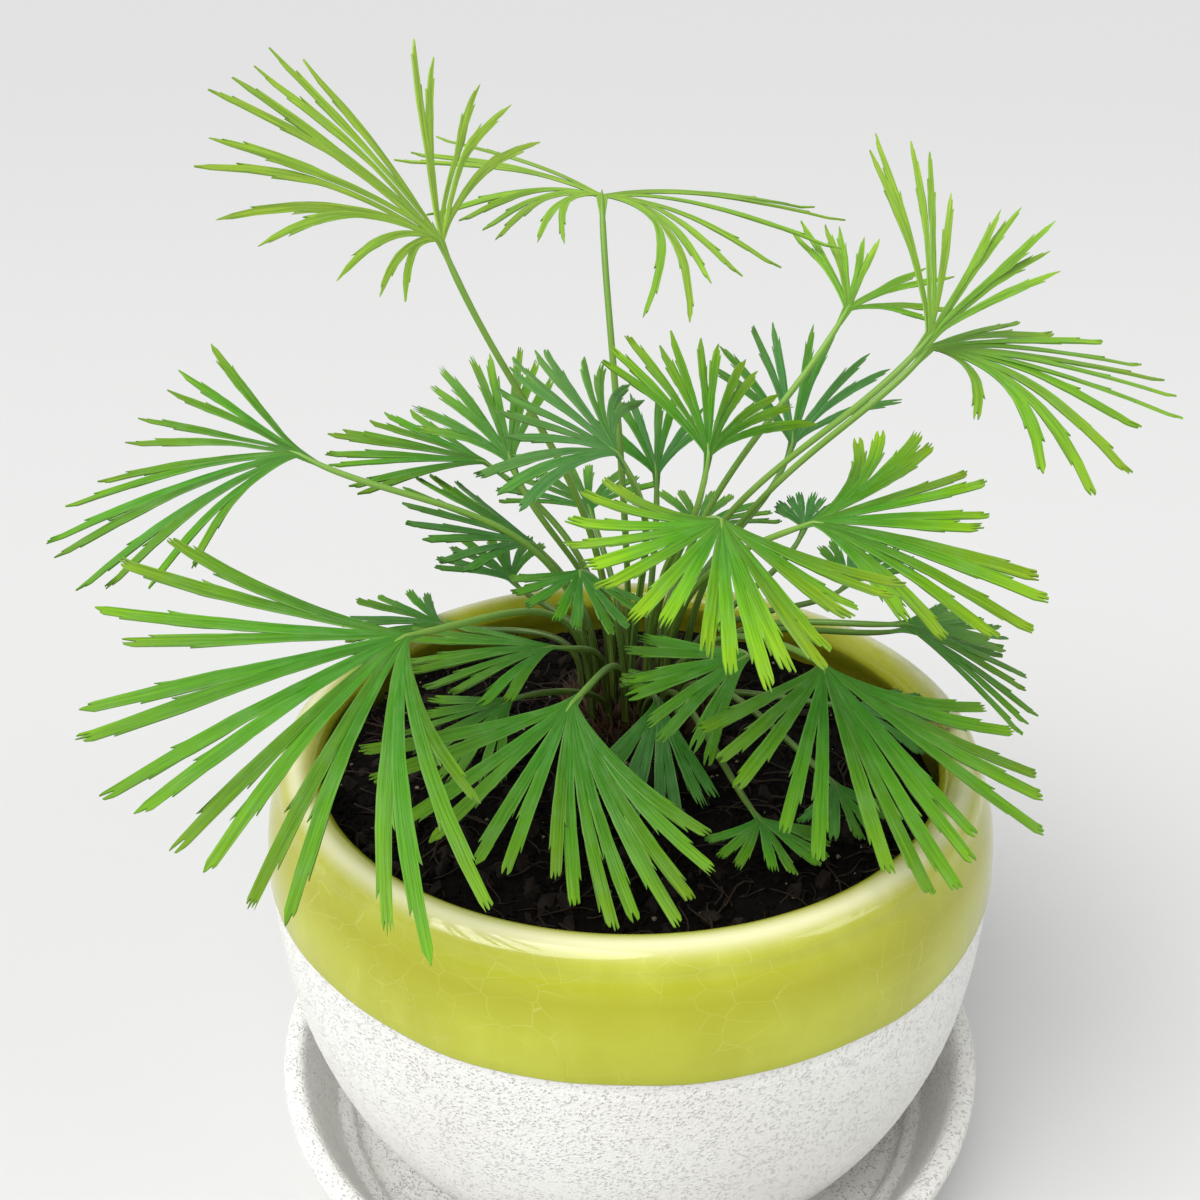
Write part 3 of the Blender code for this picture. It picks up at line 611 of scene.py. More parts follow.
class Blade:
    """The sheet of one frond's blade as it grows: points with their growth, margin and map, and triangles."""

    def __init__(self, frond, number, root):
        self.frond, self.number = frond, number
        self.axis, self.side, self.normal = blade_frame(frond.aim, frond.roll)
        self.hub = np.array(frond.hub, float)
        self.lobes = [lobe._replace(reach=lobe.reach * TIPS_WITHIN) for lobe in lobes_of(frond, number)]
        self.stipe = stipe_line(frond, root, 60)
        self.points, self.growth, self.margin, self.map, self.faces = [], [], [], [], []
        self.slender, self.fringed = SLENDER.get(number, 0.0), FRINGED.get(number, 0.0)
        count = len(self.lobes)
        strap = 0.32 + 0.011 * max(lobe.reach for lobe in self.lobes)
        self.seats = [(index - (count - 1) / 2) / count * 2 * strap for index in range(count)]

    def middle(self, index, share):
        """Point of a lobe's middle line. Mates of a slender blade run as one strand until they fork."""
        own = self.line(index, share)
        mate = self.mate_of(index)
        if share <= 0 or not self.slender or mate is None:
            return own
        other = self.line(mate, share)
        spread = self.line(index, 1.0) - self.line(mate, 1.0)
        wide = np.linalg.norm(spread)
        fork = 0.3 + 0.12 * jitter(self.number, min(index, mate), 4)
        part = wide / 2 * max(0.0, (share - fork) / (1 - fork)) ** 1.1
        strand = (0.2 + 0.005 * self.lobes[index].reach) * min(1.0, share / 0.1)
        forked = (own + other) / 2 + spread / wide * max(part, strand)
        return own * (1 - self.slender) + forked * self.slender

    def mate_of(self, index):
        """The lobe that forks from the same strand, or none."""
        lobe = self.lobes[index]
        for other, first in ((index + 1, lobe), (index - 1, self.lobes[index - 1])):
            if first.mate and 0 <= other < len(self.lobes) and self.lobes[other].fan == lobe.fan:
                return other
        return None

    def line(self, index, share):
        """Point of a lobe's own line; a share below 0 runs down the stipe, in reaches of the lobe."""
        lobe = self.lobes[index]
        if share < 0:
            down = -share * lobe.reach
            lengths = np.linalg.norm(np.diff(self.stipe, axis=0), axis=1)
            from_hub = np.append(np.cumsum(lengths[::-1])[::-1], 0.0)
            point = np.array([np.interp(down, from_hub[::-1], self.stipe[::-1, k]) for k in range(3)])
            return point + self.side * self.seats[index] * max(0.3, 1 - down / 6.0)
        leaving = math.copysign(min(0.8 * abs(lobe.turn), 33 + 0.25 * abs(lobe.turn)), lobe.turn)
        far, near = math.radians(lobe.turn), math.radians(leaving)
        out = self.axis * math.cos(far) + self.side * math.sin(far)
        leave = self.axis * math.cos(near) + self.side * math.sin(near)
        t = share
        point = self.hub + lobe.reach * (2 * t * (1 - t) * 0.4 * leave + (t**2 + 2 * t * (1 - t) * 0.1) * out)
        point += self.normal * lobe.lift * lobe.reach * t**2
        sway = jitter(self.number, index, 3)
        point += self.normal * 0.008 * lobe.reach * math.sin(5.2 * t + 3 * sway) * t * sway
        point += self.side * self.seats[index] * max(0.0, 1 - t / 0.16) ** 2
        point[2] -= self.frond.droop * lobe.reach * t**2
        return point

    def split(self, index):
        """Share at which a lobe parts from the next one."""
        lobe, after = self.lobes[index], self.lobes[index + 1]
        if lobe.fan != after.fan:
            return 0.02
        draw = jitter(self.number, index, 4)
        broad = 1 - self.slender
        wanted = 0.34 + 0.16 * broad + 0.09 * draw if lobe.mate else 0.1 + 0.1 * broad + 0.05 * draw
        wanted += 0.16 * self.fringed
        for share in BODY_ROWS[2:]:
            gap = np.linalg.norm(self.middle(index, share) - self.middle(index + 1, share))
            wide = half_width(lobe.reach, share, self.slender) + half_width(after.reach, share, self.slender)
            if gap > wide or share > wanted:
                return share
        return 0.6

    def across(self, index, share):
        """Unit direction across a lobe, towards its right edge."""
        run = self.middle(index, share + 0.01) - self.middle(index, share - 0.01)
        away = np.cross(run, self.normal)
        return away / np.linalg.norm(away)

    def edge(self, index, share, way, splits, factor=1.0):
        """(offset from the middle line, joined) of a lobe's left (-1) or right (1) edge."""
        lobe = self.lobes[index]
        own = half_width(lobe.reach, max(share, 0.0), self.slender)
        own *= 1.0 if share >= 0 else max(0.35, 1 + share * lobe.reach / 7)
        own *= 1 + 0.05 * jitter(self.number, index, 40 + way + round(share * 20))
        away = self.across(index, share) * way
        other = index + way
        if not 0 <= other < len(self.lobes):
            return away * own * factor, False
        split = splits[min(index, other)]
        offset = (self.middle(other, share) - self.middle(index, share)) / 2
        if share <= split:
            return offset, True
        slit = 0.17 * min(1.0, (share - split) / 0.1)
        return away * min(own, max(0.2, np.linalg.norm(offset) - slit)) * factor, False

    def put(self, point, index, share, margin, across, along, tint):
        """Adds a point with its growth, margin and place on the leaf's map, and returns its number."""
        self.points.append(point)
        draw = share_drawn(self.number, index, 5)
        # how old it is, its lobe's draw, its share of the lobe's reach, and 1 for the upper face
        self.growth.append((tint, draw, max(0.0, share), 1.0))
        self.margin.append(margin)
        self.map.append((across, along))
        return len(self.points) - 1

    def row(self, index, share, splits, reaches=(1.0, 1.0), ahead=None):
        """One row of points across a lobe.

        reaches: factors of its left and right edge. ahead: how far each point stands out along the lobe.
        """
        lobe = self.lobes[index]
        left, joined_left = self.edge(index, share, -1, splits, reaches[0])
        right, joined_right = self.edge(index, share, 1, splits, reaches[1])
        centre = self.middle(index, share)
        along = np.cross(self.normal, self.across(index, share))
        sizes = np.linalg.norm(left), np.linalg.norm(right)
        close = np.array((-1, -0.86, -0.52, -0.17, 0.17, 0.52, 0.86, 1))
        even = np.linspace(-1, 1, ACROSS)
        spread = np.clip((share - 0.6) / 0.3, 0, 1)
        places = close * (1 - spread) + even * spread
        roll = 0.2 * jitter(self.number, index, 6) * min(1.0, max(0.0, share - 0.3) * 3)
        row = []
        tint = min(1.0, max(0.0, self.frond.age + 0.12 * jitter(self.number, index, 7)))
        for column, place in enumerate(places):
            edge, joined = (left, joined_left) if place < 0 else (right, joined_right)
            size = abs(place)
            sideways = sizes[0 if place < 0 else 1] * place
            free = 0.0 if joined else 1.0
            height = (-0.07 * size**2 * min(1.0, max(sizes)) + roll * sideways) * free
            if 0.8 < size < 0.95 and not spread:
                height += 0.05 * free
            if joined and size == 1:
                height = -0.14
            point = centre + edge * size + self.normal * height
            if ahead is not None:
                point = point + along * ahead[column]
            row.append(self.put(point, index, share, free if size > 0.8 else 0.0, sideways + 7.3 * index,
                                share * lobe.reach, tint))
        return row

    def grow(self):
        """Rows of points from the stipe to the tip of every lobe, with triangles between them."""
        count = len(self.lobes)
        splits = [self.split(index) for index in range(count - 1)]
        for index, lobe in enumerate(self.lobes):
            rows = [self.row(index, -down / lobe.reach, splits) for down in (6.0, 4.0, 2.2, 1.0)]
            rows += [self.row(index, share, splits) for share in BODY_ROWS]
            rows += self.end_rows(index, lobe, splits)
            for low, high in zip(rows, rows[1:]):
                for j in range(ACROSS - 1):
                    if j < ACROSS // 2:
                        self.faces += [(low[j], low[j + 1], high[j]), (low[j + 1], high[j + 1], high[j])]
                    else:
                        self.faces += [(low[j], low[j + 1], high[j + 1]), (low[j], high[j + 1], high[j])]

    def end_rows(self, index, lobe, splits):
        """The outer third of a lobe: its sides step in with a tooth at each step, and its end is toothed."""
        draws = [share_drawn(self.number, index, salt) for salt in range(10, 22)]
        slender, fringed = self.slender, self.fringed
        tip = (1 - slender) * (1.0 + 0.7 * draws[0]) + slender * (2.4 + 1.4 * draws[0])
        tip += fringed * (0.9 + 1.3 * draws[1])
        last = 1 - tip / lobe.reach
        cuts = sorted((0.67 + 0.09 * draws[1], 0.8 + 0.09 * draws[2]))
        cuts = [cut for cut in cuts if cut < last - 0.04]
        left = right = 1.0
        rows, way = [], -1 if draws[4] < 0.5 else 1
        for place, cut in enumerate(cuts):
            keep = 0.87 - 0.14 * draws[5 + place]
            ahead = np.zeros(ACROSS)
            ahead[0 if way < 0 else -1] = 0.7 + 0.9 * draws[8 + place]
            flare = 1.12 + 0.14 * slender
            wider = (left * flare, right) if way < 0 else (left, right * flare)
            before = self.row(index, cut, splits, wider, ahead)
            if way < 0:
                left *= keep
            else:
                right *= keep
            after = self.row(index, cut + 0.12 / lobe.reach, splits, (left, right))
            inner, edge = (before[1], after[0]) if way < 0 else (before[-2], after[-1])
            self.points[inner] = self.points[edge] - 0.1 * np.cross(self.normal, self.across(index, cut))
            if not place:
                rows.append(self.row(index, cut - 1.4 / lobe.reach, splits))
            rows += [before, after]
            way = -way
        rows.append(self.row(index, last, splits, (left, right)))
        shapes = POINTS if draws[10] < slender else TEETH
        shape = np.array(shapes[int(draws[11] * (len(shapes) - 0.001))])
        if draws[9] < 0.5:
            shape = shape[::-1]
        rows.append(self.row(index, last + 0.03 / lobe.reach, splits, (left, right), shape * tip))
        return rows

    def solid(self, thickness):
        """Points, faces, growth, margin and map of the sheet with a thickness, shared points made one."""
        points = np.array(self.points)
        _, first, index = np.unique(np.round(points / 0.002).astype(np.int64), axis=0, return_index=True,
                                    return_inverse=True)
        faces = index.reshape(-1)[np.array(self.faces)]
        whole = (faces[:, 0] != faces[:, 1]) & (faces[:, 1] != faces[:, 2]) & (faces[:, 0] != faces[:, 2])
        points, faces = points[first], faces[whole]
        growth, margin, place = (np.array(values)[first] for values in (self.growth, self.margin, self.map))
        turn = np.cross(points[faces[:, 1]] - points[faces[:, 0]], points[faces[:, 2]] - points[faces[:, 0]])
        normals = np.zeros_like(points)
        for corner in range(3):
            np.add.at(normals, faces[:, corner], turn)
        normals /= np.linalg.norm(normals, axis=1)[:, None] + 1e-12
        count = len(points)
        edges = {}
        for a, b, c in faces.tolist():
            edges[a, b] = edges[b, c] = edges[c, a] = True
        rim = [(b, a, a + count, b + count) for a, b in edges if (b, a) not in edges]
        lower = growth.copy()
        lower[:, 3] = 0.0
        both = np.vstack((points + normals * thickness / 2, points - normals * thickness / 2))
        solid_faces = [*map(tuple, faces.tolist()), *rim]
        solid_faces[len(faces):len(faces)] = [(c + count, b + count, a + count) for a, b, c in faces.tolist()]
        return both, solid_faces, np.vstack((growth, lower)), np.tile(margin, 2), np.vstack((place, place))


def stipe_tree():
    """Sweeps a grooved stalk along each path of edges: the path's girth is the stalk's radius there."""
    node, given = new_tree("Stalk along its path", sides=14, groove_depth=0.3)
    path = node("GeometryNodeMeshToCurve", {"Mesh": given["Geometry"]})
    level = node("GeometryNodeSetCurveNormal", {"Curve": path}, mode="Z_UP")
    girth = node("GeometryNodeInputNamedAttribute", {"Name": "girth"}, data_type="FLOAT")
    ring = node("GeometryNodeCurvePrimitiveCircle", {"Resolution": given["Sides"], "Radius": 1.0})
    place = node("GeometryNodeInputPosition")
    split = node("SeparateXYZ", (place,)).node.outputs
    toward = node("MapRange", (split[1], 0.75, 1.0), interpolation_type="SMOOTHSTEP")
    deep = node("Math", (toward, given["Groove depth"]), operation="MULTIPLY")
    deep = node("Math", (deep, -1.0), operation="MULTIPLY")
    drop = node("CombineXYZ", {1: deep})
    grooved = node("GeometryNodeSetPosition", {"Geometry": ring, "Offset": drop})
    for name, kind, value in (("margin", "FLOAT", toward), ("round", "FLOAT_VECTOR", place)):
        stored = {"Geometry": grooved, "Name": name, "Value": value}
        grooved = node("GeometryNodeStoreNamedAttribute", stored, data_type=kind, domain="POINT")
    sweep = {"Curve": level, "Profile Curve": grooved, "Scale": girth, "Fill Caps": True}
    swept = node("GeometryNodeCurveToMesh", sweep)
    return end_tree(node, swept, given["Finish"])


def through_tree(piece, tree, **values):
    """Runs a piece through a tree, its inputs set by their sockets' identifiers, and keeps the plain mesh."""
    modifier = piece.modifiers.new(tree.name, "NODES")
    modifier.node_group = tree
    named = {item.name: item.identifier for item in tree.interface.items_tree if item.in_out == "INPUT"}
    for name, value in values.items():
        modifier[named[name.replace("_", " ").capitalize()]] = value
    return plain_mesh(piece)


def read_mesh(mesh, *layers):
    """Points in millimetres, faces and the named layers of a mesh, as arrays and lists."""
    points = np.empty(len(mesh.vertices) * 3)
    mesh.vertices.foreach_get("co", points)
    found = []
    for name, size, field in layers:
        values = np.empty(len(mesh.vertices) * size, np.float32)
        mesh.attributes[name].data.foreach_get(field, values)
        found.append(values.reshape(-1, size))
    return points.reshape(-1, 3) / MM, [tuple(face.vertices) for face in mesh.polygons], found


def make_frond(number, frond, root, tree, leaf, stalk, thickness):
    """One frond in one mesh: its blade, and its stalk swept up to the hub and 3 mm into the blade."""
    blade = Blade(frond, number, root)
    blade.grow()
    points, faces, growth, margin, place = blade.solid(thickness)
    line = np.vstack((blade.stipe, blade.hub + blade.axis * 1.5, blade.hub + blade.axis * 3.0))
    lengths = np.append(0.0, np.cumsum(np.linalg.norm(np.diff(line, axis=0), axis=1)))
    share = lengths / lengths[-1]
    left = lengths[-1] - lengths
    girth = np.interp(share, (0, 0.12, 0.3, 1), (0.82, 0.82, 0.66, 0.56))
    girth *= np.interp(left, (0, 1.5, 3.5, 9), (0.12, 0.4, 0.72, 1))
    path = mesh_object("stalk_path", line, [], edges=[(i, i + 1) for i in range(len(line) - 1)])
    point_values(path.data, "girth", girth * MM)
    point_values(path.data, "along", lengths)
    draw = share_drawn(number, 0, 9)
    point_values(path.data, "growth", [(frond.age, draw, s, 1.0) for s in share], "FLOAT_COLOR")
    swept = through_tree(path, tree, finish=stalk)
    stem_points, stem_faces, (stem_growth, stem_margin, turned_by, along) = read_mesh(
        swept, ("growth", 4, "color"), ("margin", 1, "value"), ("round", 3, "vector"), ("along", 1, "value"))
    bpy.data.objects.remove(path, do_unlink=True)
    count = len(points)
    piece = mesh_object(f"fern_frond_{number:02d}", np.vstack((points, stem_points)),
                        [*faces, *(tuple(v + count for v in face) for face in stem_faces)], (leaf, stalk))
    mesh = piece.data
    mesh.polygons.foreach_set("material_index", [0] * len(faces) + [1] * len(stem_faces))
    point_values(mesh, "growth", np.vstack((growth, stem_growth)), "FLOAT_COLOR")
    point_values(mesh, "margin", np.append(margin, stem_margin))
    stalk_map = np.column_stack((turned_by[:, :2], along / STALK_UNIT))
    point_values(mesh, "stalk", np.vstack((np.zeros((count, 3)), stalk_map)), "FLOAT_VECTOR")
    layer = mesh.uv_layers.new(name="leaf")
    corners = np.empty(len(mesh.loops), np.int32)
    mesh.loops.foreach_get("vertex_index", corners)
    both = np.vstack((place, np.zeros((len(stem_points), 2))))
    layer.data.foreach_set("uv", both[corners].astype(np.float32).ravel())
    smooth(mesh, 55)
    return dressed(piece, "frond_leaf", f"frond_{number:02d}")


# Pot, saucer, soil and crown

def pot_outer(height):
    """Outer radius of the pot at a height above its own foot."""
    if height <= POT_WIDEST_HEIGHT:
        swell = 1 - (1 - height / POT_WIDEST_HEIGHT) ** 2.6
        return POT_FOOT_RADIUS + (POT_RADIUS - POT_FOOT_RADIUS) * swell
    share = (height - POT_WIDEST_HEIGHT) / (POT_HEIGHT - RIM - POT_WIDEST_HEIGHT)
    return POT_RADIUS - (POT_RADIUS - MOUTH_RADIUS - 2 * RIM) * share**2.2


def pot_inside():
    """(radius, height above the pot's foot) down the inner wall, from the rim to the floor."""
    heights = [POT_WIDEST_HEIGHT + 0.7 * (POT_HEIGHT - RIM - POT_WIDEST_HEIGHT), POT_WIDEST_HEIGHT]
    heights += [share * POT_WIDEST_HEIGHT for share in np.linspace(0.75, 0.12, 3)]
    return [(pot_outer(height) - WALL, height) for height in heights]


def glaze_edge(angle):
    """Height of the glaze's lower edge round the pot, in millimetres above the table."""
    waves = ((0.45, 2, 0.6), (0.3, 5, 2.0), (0.16, 11, 1.0), (0.08, 23, 0.0))
    level = POT_BASE + POT_WIDEST_HEIGHT - 0.4
    return level + sum(size * np.sin(angle * times + start) for size, times, start in waves)


def make_pot(looks):
    """The bowl, its drain hole open, with the glaze standing proud of the clay above its wavy edge."""
    outline = []
    for index in range(17):
        angle = math.radians(180 - 11.25 * index)
        outline.append((MOUTH_RADIUS + RIM + RIM * math.cos(angle), POT_HEIGHT - RIM + RIM * math.sin(angle)))
    heights = [*np.arange(77.3, 65.5, -1.0), *np.arange(65.2, 58.5, -0.2), *np.arange(58.0, 1.0, -1.5)]
    heights += [0.9, 0.5, 0.2]
    outline += [(pot_outer(height), height) for height in heights]
    outline += [(POT_FOOT_RADIUS - 0.3, 0.05), (POT_FOOT_RADIUS - 1.0, 0.0),
                (DRAIN_RADIUS + 0.8, 0.0), (DRAIN_RADIUS, 0.7)]
    inner = pot_inside()
    outline += [(DRAIN_RADIUS, POT_FLOOR - 0.7), (DRAIN_RADIUS + 0.8, POT_FLOOR),
                (inner[-1][0] - 6, POT_FLOOR)]
    outline += inner[::-1]
    points, faces = turned(outline, 192)
    points[:, 2] += POT_BASE
    angle, radius = np.arctan2(points[:, 1], points[:, 0]), np.hypot(points[:, 0], points[:, 1])
    over = points[:, 2] - glaze_edge(angle)
    outside = radius > MOUTH_RADIUS - 0.1
    thick = np.clip(over / 0.5 + 0.5, 0, 1)
    # it gathers in a bead along its lower edge
    bead = 1 + 0.5 * np.exp(-np.clip(over - 0.5, 0, None) / 1.2)
    thick = GLAZE_THICKNESS * thick * thick * (3 - 2 * thick) * bead
    below = POT_BASE + POT_HEIGHT - RIM - points[:, 2]
    thick *= outside * (below > 0)
    # the foot of the wall keeps faint rings from the wheel
    rings = 0.05 * np.sin(points[:, 2] * 1.9 + 0.4 * np.sin(angle * 3))
    thick += rings * outside * (over < 0) * (points[:, 2] > POT_BASE + 3)
    # the glaze thins out over the last 6 mm below the rim
    thick *= np.clip(below / 6.0, 0, 1)
    points[:, 0] += np.cos(angle) * thick
    points[:, 1] += np.sin(angle) * thick
    piece = mesh_object("glazed_pot", points, faces, (pot_finish(looks),))
    inside = (radius < MOUTH_RADIUS - 0.1) | (points[:, 2] < POT_BASE + 0.01)
    point_values(piece.data, "glaze", np.where(inside & (points[:, 2] < POT_BASE + 60), -5.0, over))
    crest = POT_BASE + POT_HEIGHT
    # the band along the rim's crest: thin glaze breaking over the rim, and a painted highlight there
    thin = np.exp(-((radius - MOUTH_RADIUS - RIM * 1.2) / 1.6) ** 2)
    thin *= np.clip((points[:, 2] - crest + 4.5) / 4.0, 0, 1)
    point_values(piece.data, "thin", thin)
    smooth(piece.data, 50)
    return dressed(piece, "pot_glaze", "pot")


def make_saucer(looks):
    """The saucer, its corners rounded by hand and sponge."""
    inside = SAUCER_RADIUS - SAUCER_WALL
    outline = [
        (0.0, SAUCER_FLOOR), (20.0, SAUCER_FLOOR), (SAUCER_FOOT_RADIUS - 5, SAUCER_FLOOR),
        # a low step runs round the foot of the inner wall
        (SAUCER_FOOT_RADIUS - 2.2, SAUCER_FLOOR + 0.1), (SAUCER_FOOT_RADIUS - 1.2, SAUCER_FLOOR + 2.2),
        (SAUCER_FOOT_RADIUS + 0.6, SAUCER_FLOOR + 2.6), (SAUCER_FOOT_RADIUS + 1.6, SAUCER_FLOOR + 3.0),
        (inside - 1.2, SAUCER_HEIGHT - 4), (inside, SAUCER_HEIGHT - 1),
        (inside + 1.2, SAUCER_HEIGHT), (SAUCER_RADIUS - 1.2, SAUCER_HEIGHT),
        (SAUCER_RADIUS, SAUCER_HEIGHT - 1.4),
        (SAUCER_RADIUS - 1.5, SAUCER_HEIGHT - 6), (SAUCER_FOOT_RADIUS + 2, 1.5), (SAUCER_FOOT_RADIUS, 0.0),
        (SAUCER_FOOT_RADIUS - 3, 0.0), (20.0, 0.0), (0.0, 0.0),
    ]
    points, faces = turned(softened(outline, 2), 160)
    piece = mesh_object("bisque_saucer", points, faces, (saucer_finish(looks),))
    smooth(piece.data, 50)
    return dressed(piece, "saucer_bisque", "saucer")


def rough(point, size, seed):
    """Fractal noise from about -1 to 1 at a point in millimetres."""
    return noise.fractal(Vector((point[0] / size + seed, point[1] / size, point[2] / size)), 1.0, 2.1, 4)


def scatter_tree(name, shape):
    """Strews one shape over the input's top faces at random sizes and turns."""
    node, given = new_tree(name, density=1.0, smallest=0.0005, largest=0.002, reach=0.05, stretch=1.0, seed=1)
    facing = node("SeparateXYZ", (node("GeometryNodeInputNormal"),), out=2)
    place = node("SeparateXYZ", (node("GeometryNodeInputPosition"),)).node.outputs
    flat = node("CombineXYZ", (place[0], place[1]))
    out = node("VectorMath", (flat,), out="Value", operation="LENGTH")
    upward = node("Math", (facing, 0.25), operation="GREATER_THAN")
    near = node("Math", (out, given["Reach"]), operation="LESS_THAN")
    chosen = node("Math", (upward, near), operation="MULTIPLY")
    spread = {"Mesh": given["Geometry"], "Selection": chosen,
              "Density": given["Density"], "Seed": given["Seed"]}
    strewn = node("GeometryNodeDistributePointsOnFaces", spread)
    if shape == "crumb":
        ball = node("GeometryNodeMeshIcoSphere", {"Radius": 0.5, "Subdivisions": 1})
        dent = node("FunctionNodeRandomValue", ((-0.16,) * 3, (0.16,) * 3), data_type="FLOAT_VECTOR")
        made = node("GeometryNodeSetPosition", {"Geometry": ball, "Offset": dent})
        least, most = (0.0, 0.0, 0.0), (6.28, 6.28, 6.28)
    else:
        made = fibre_shape(node)
        least, most = (-0.35, -0.35, 0.0), (0.35, 0.35, 6.28)
    seed = node("Math", (given["Seed"], 7.0), operation="ADD")
    sizes = {2: given["Smallest"], 3: given["Largest"], "Seed": seed}
    size = node("FunctionNodeRandomValue", sizes, out=1, data_type="FLOAT")
    seed = node("Math", (given["Seed"], 3.0), operation="ADD")
    turn = node("FunctionNodeRandomValue", {0: least, 1: most, "Seed": seed}, data_type="FLOAT_VECTOR")
    stretched = node("Math", (size, given["Stretch"]), operation="MULTIPLY")
    scale = node("CombineXYZ", (stretched, size, size))
    placed = node("GeometryNodeInstanceOnPoints",
                  {"Points": strewn, "Instance": made, "Rotation": turn, "Scale": scale})
    return end_tree(node, placed, given["Finish"])


def fibre_shape(node):
    """A bowed three-sided hair one unit long."""
    line = node("GeometryNodeCurvePrimitiveLine", {"Start": (-0.5, 0, 0), "End": (0.5, 0, 0)})
    fine = node("GeometryNodeResampleCurve", {"Curve": line, "Count": 7})
    along = node("SeparateXYZ", (node("GeometryNodeInputPosition"),))
    bow = node("Math", (along, 4.6), operation="MULTIPLY")
    bow = node("Math", (bow,), operation="SINE")
    bow = node("Math", (bow, 0.16), operation="MULTIPLY")
    rise = node("Math", (along, along), operation="MULTIPLY")
    rise = node("Math", (rise, -0.6, 0.12), operation="MULTIPLY_ADD")
    offset = node("CombineXYZ", (0.0, bow, rise))
    bent = node("GeometryNodeSetPosition", {"Geometry": fine, "Offset": offset})
    ring = node("GeometryNodeCurvePrimitiveCircle", {"Resolution": 3, "Radius": 0.02})
    return node("GeometryNodeCurveToMesh", {"Curve": bent, "Profile Curve": ring, "Fill Caps": True})


def strewn_copy(surface, name, tree, **values):
    """A new piece of what a tree strews over a copy of a surface."""
    made = bpy.data.objects.new(name, surface.data.copy())
    home().objects.link(made)
    through_tree(made, tree, **values)
    made.data.name = name
    return made


def make_soil(looks):
    """The mound of potting mix inside the bowl, and the loose bits strewn over it."""
    level = SOIL_TOP - POT_BASE
    walls = [(radius - GAP, height) for radius, height in pot_inside() if height < level - 1]
    floor = POT_FLOOR + GAP
    outline = []
    for radius in np.linspace(0, MOUTH_RADIUS - GAP - 0.4, 64):
        mound = math.cos(min(1.0, radius / (MOUTH_RADIUS - GAP)) * math.pi / 2)
        outline.append((radius, level - 1.0 + (SOIL_MOUND + 0.4) * mound))
    outline += [(MOUTH_RADIUS - GAP, level - 1.6), *walls, (walls[-1][0] - 6 - GAP, floor), (0.0, floor)]
    points, faces = turned(outline, 160)
    points[:, 2] += POT_BASE
    for point in points:
        out = math.hypot(point[0], point[1])
        if point[2] > SOIL_TOP - 2.0 and out < MOUTH_RADIUS - GAP - 0.2:
            lumps = ((0.9, 9.0, 3.0), (0.45, 3.0, 9.0), (0.25, 1.3, 5.0))
            point[2] += sum(height * rough(point, size, seed) for height, size, seed in lumps)
    finish = soil_finish(looks)
    piece = mesh_object("potting_mix", points, faces, (finish,))
    smooth(piece.data, 60)
    crumbs = scatter_tree("Crumbs on a surface", "crumb")
    fibres = scatter_tree("Fibres on a surface", "fibre")
    reach = (MOUTH_RADIUS - 1.6) * MM
    bark = plain_finish("composted_bark", "120C07", "20160E", 900.0, 0.85)
    grit = plain_finish("pale_grit", "8C8270", "5C5444", 1500.0, 0.75)
    straw = plain_finish("dry_peat_fibre", "35281A", "1C140C", 500.0, 0.8)
    # name, tree, finish, pieces a square metre, smallest and largest size, stretch, seed
    layers = (
        ("soil_crumbs", crumbs, finish, 380000.0, 0.0005, 0.0018, 1.0, 4),
        ("soil_bark", crumbs, bark, 26000.0, 0.0010, 0.0032, 1.9, 9),
        ("soil_grit", crumbs, grit, 22000.0, 0.0003, 0.0009, 1.0, 15),
        ("soil_fibres", fibres, straw, 55000.0, 0.003, 0.011, 1.0, 21),
    )
    for name, tree, look, density, smallest, largest, stretch, seed in layers:
        made = strewn_copy(piece, name, tree, density=density, smallest=smallest, largest=largest,
                           reach=reach, stretch=stretch, seed=seed, finish=look)
        if name == "soil_fibres":
            made.data.shade_smooth()
        else:
            made.data.shade_flat()
        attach(made, BODY)
    return dressed(piece, "potting_mix", "soil")


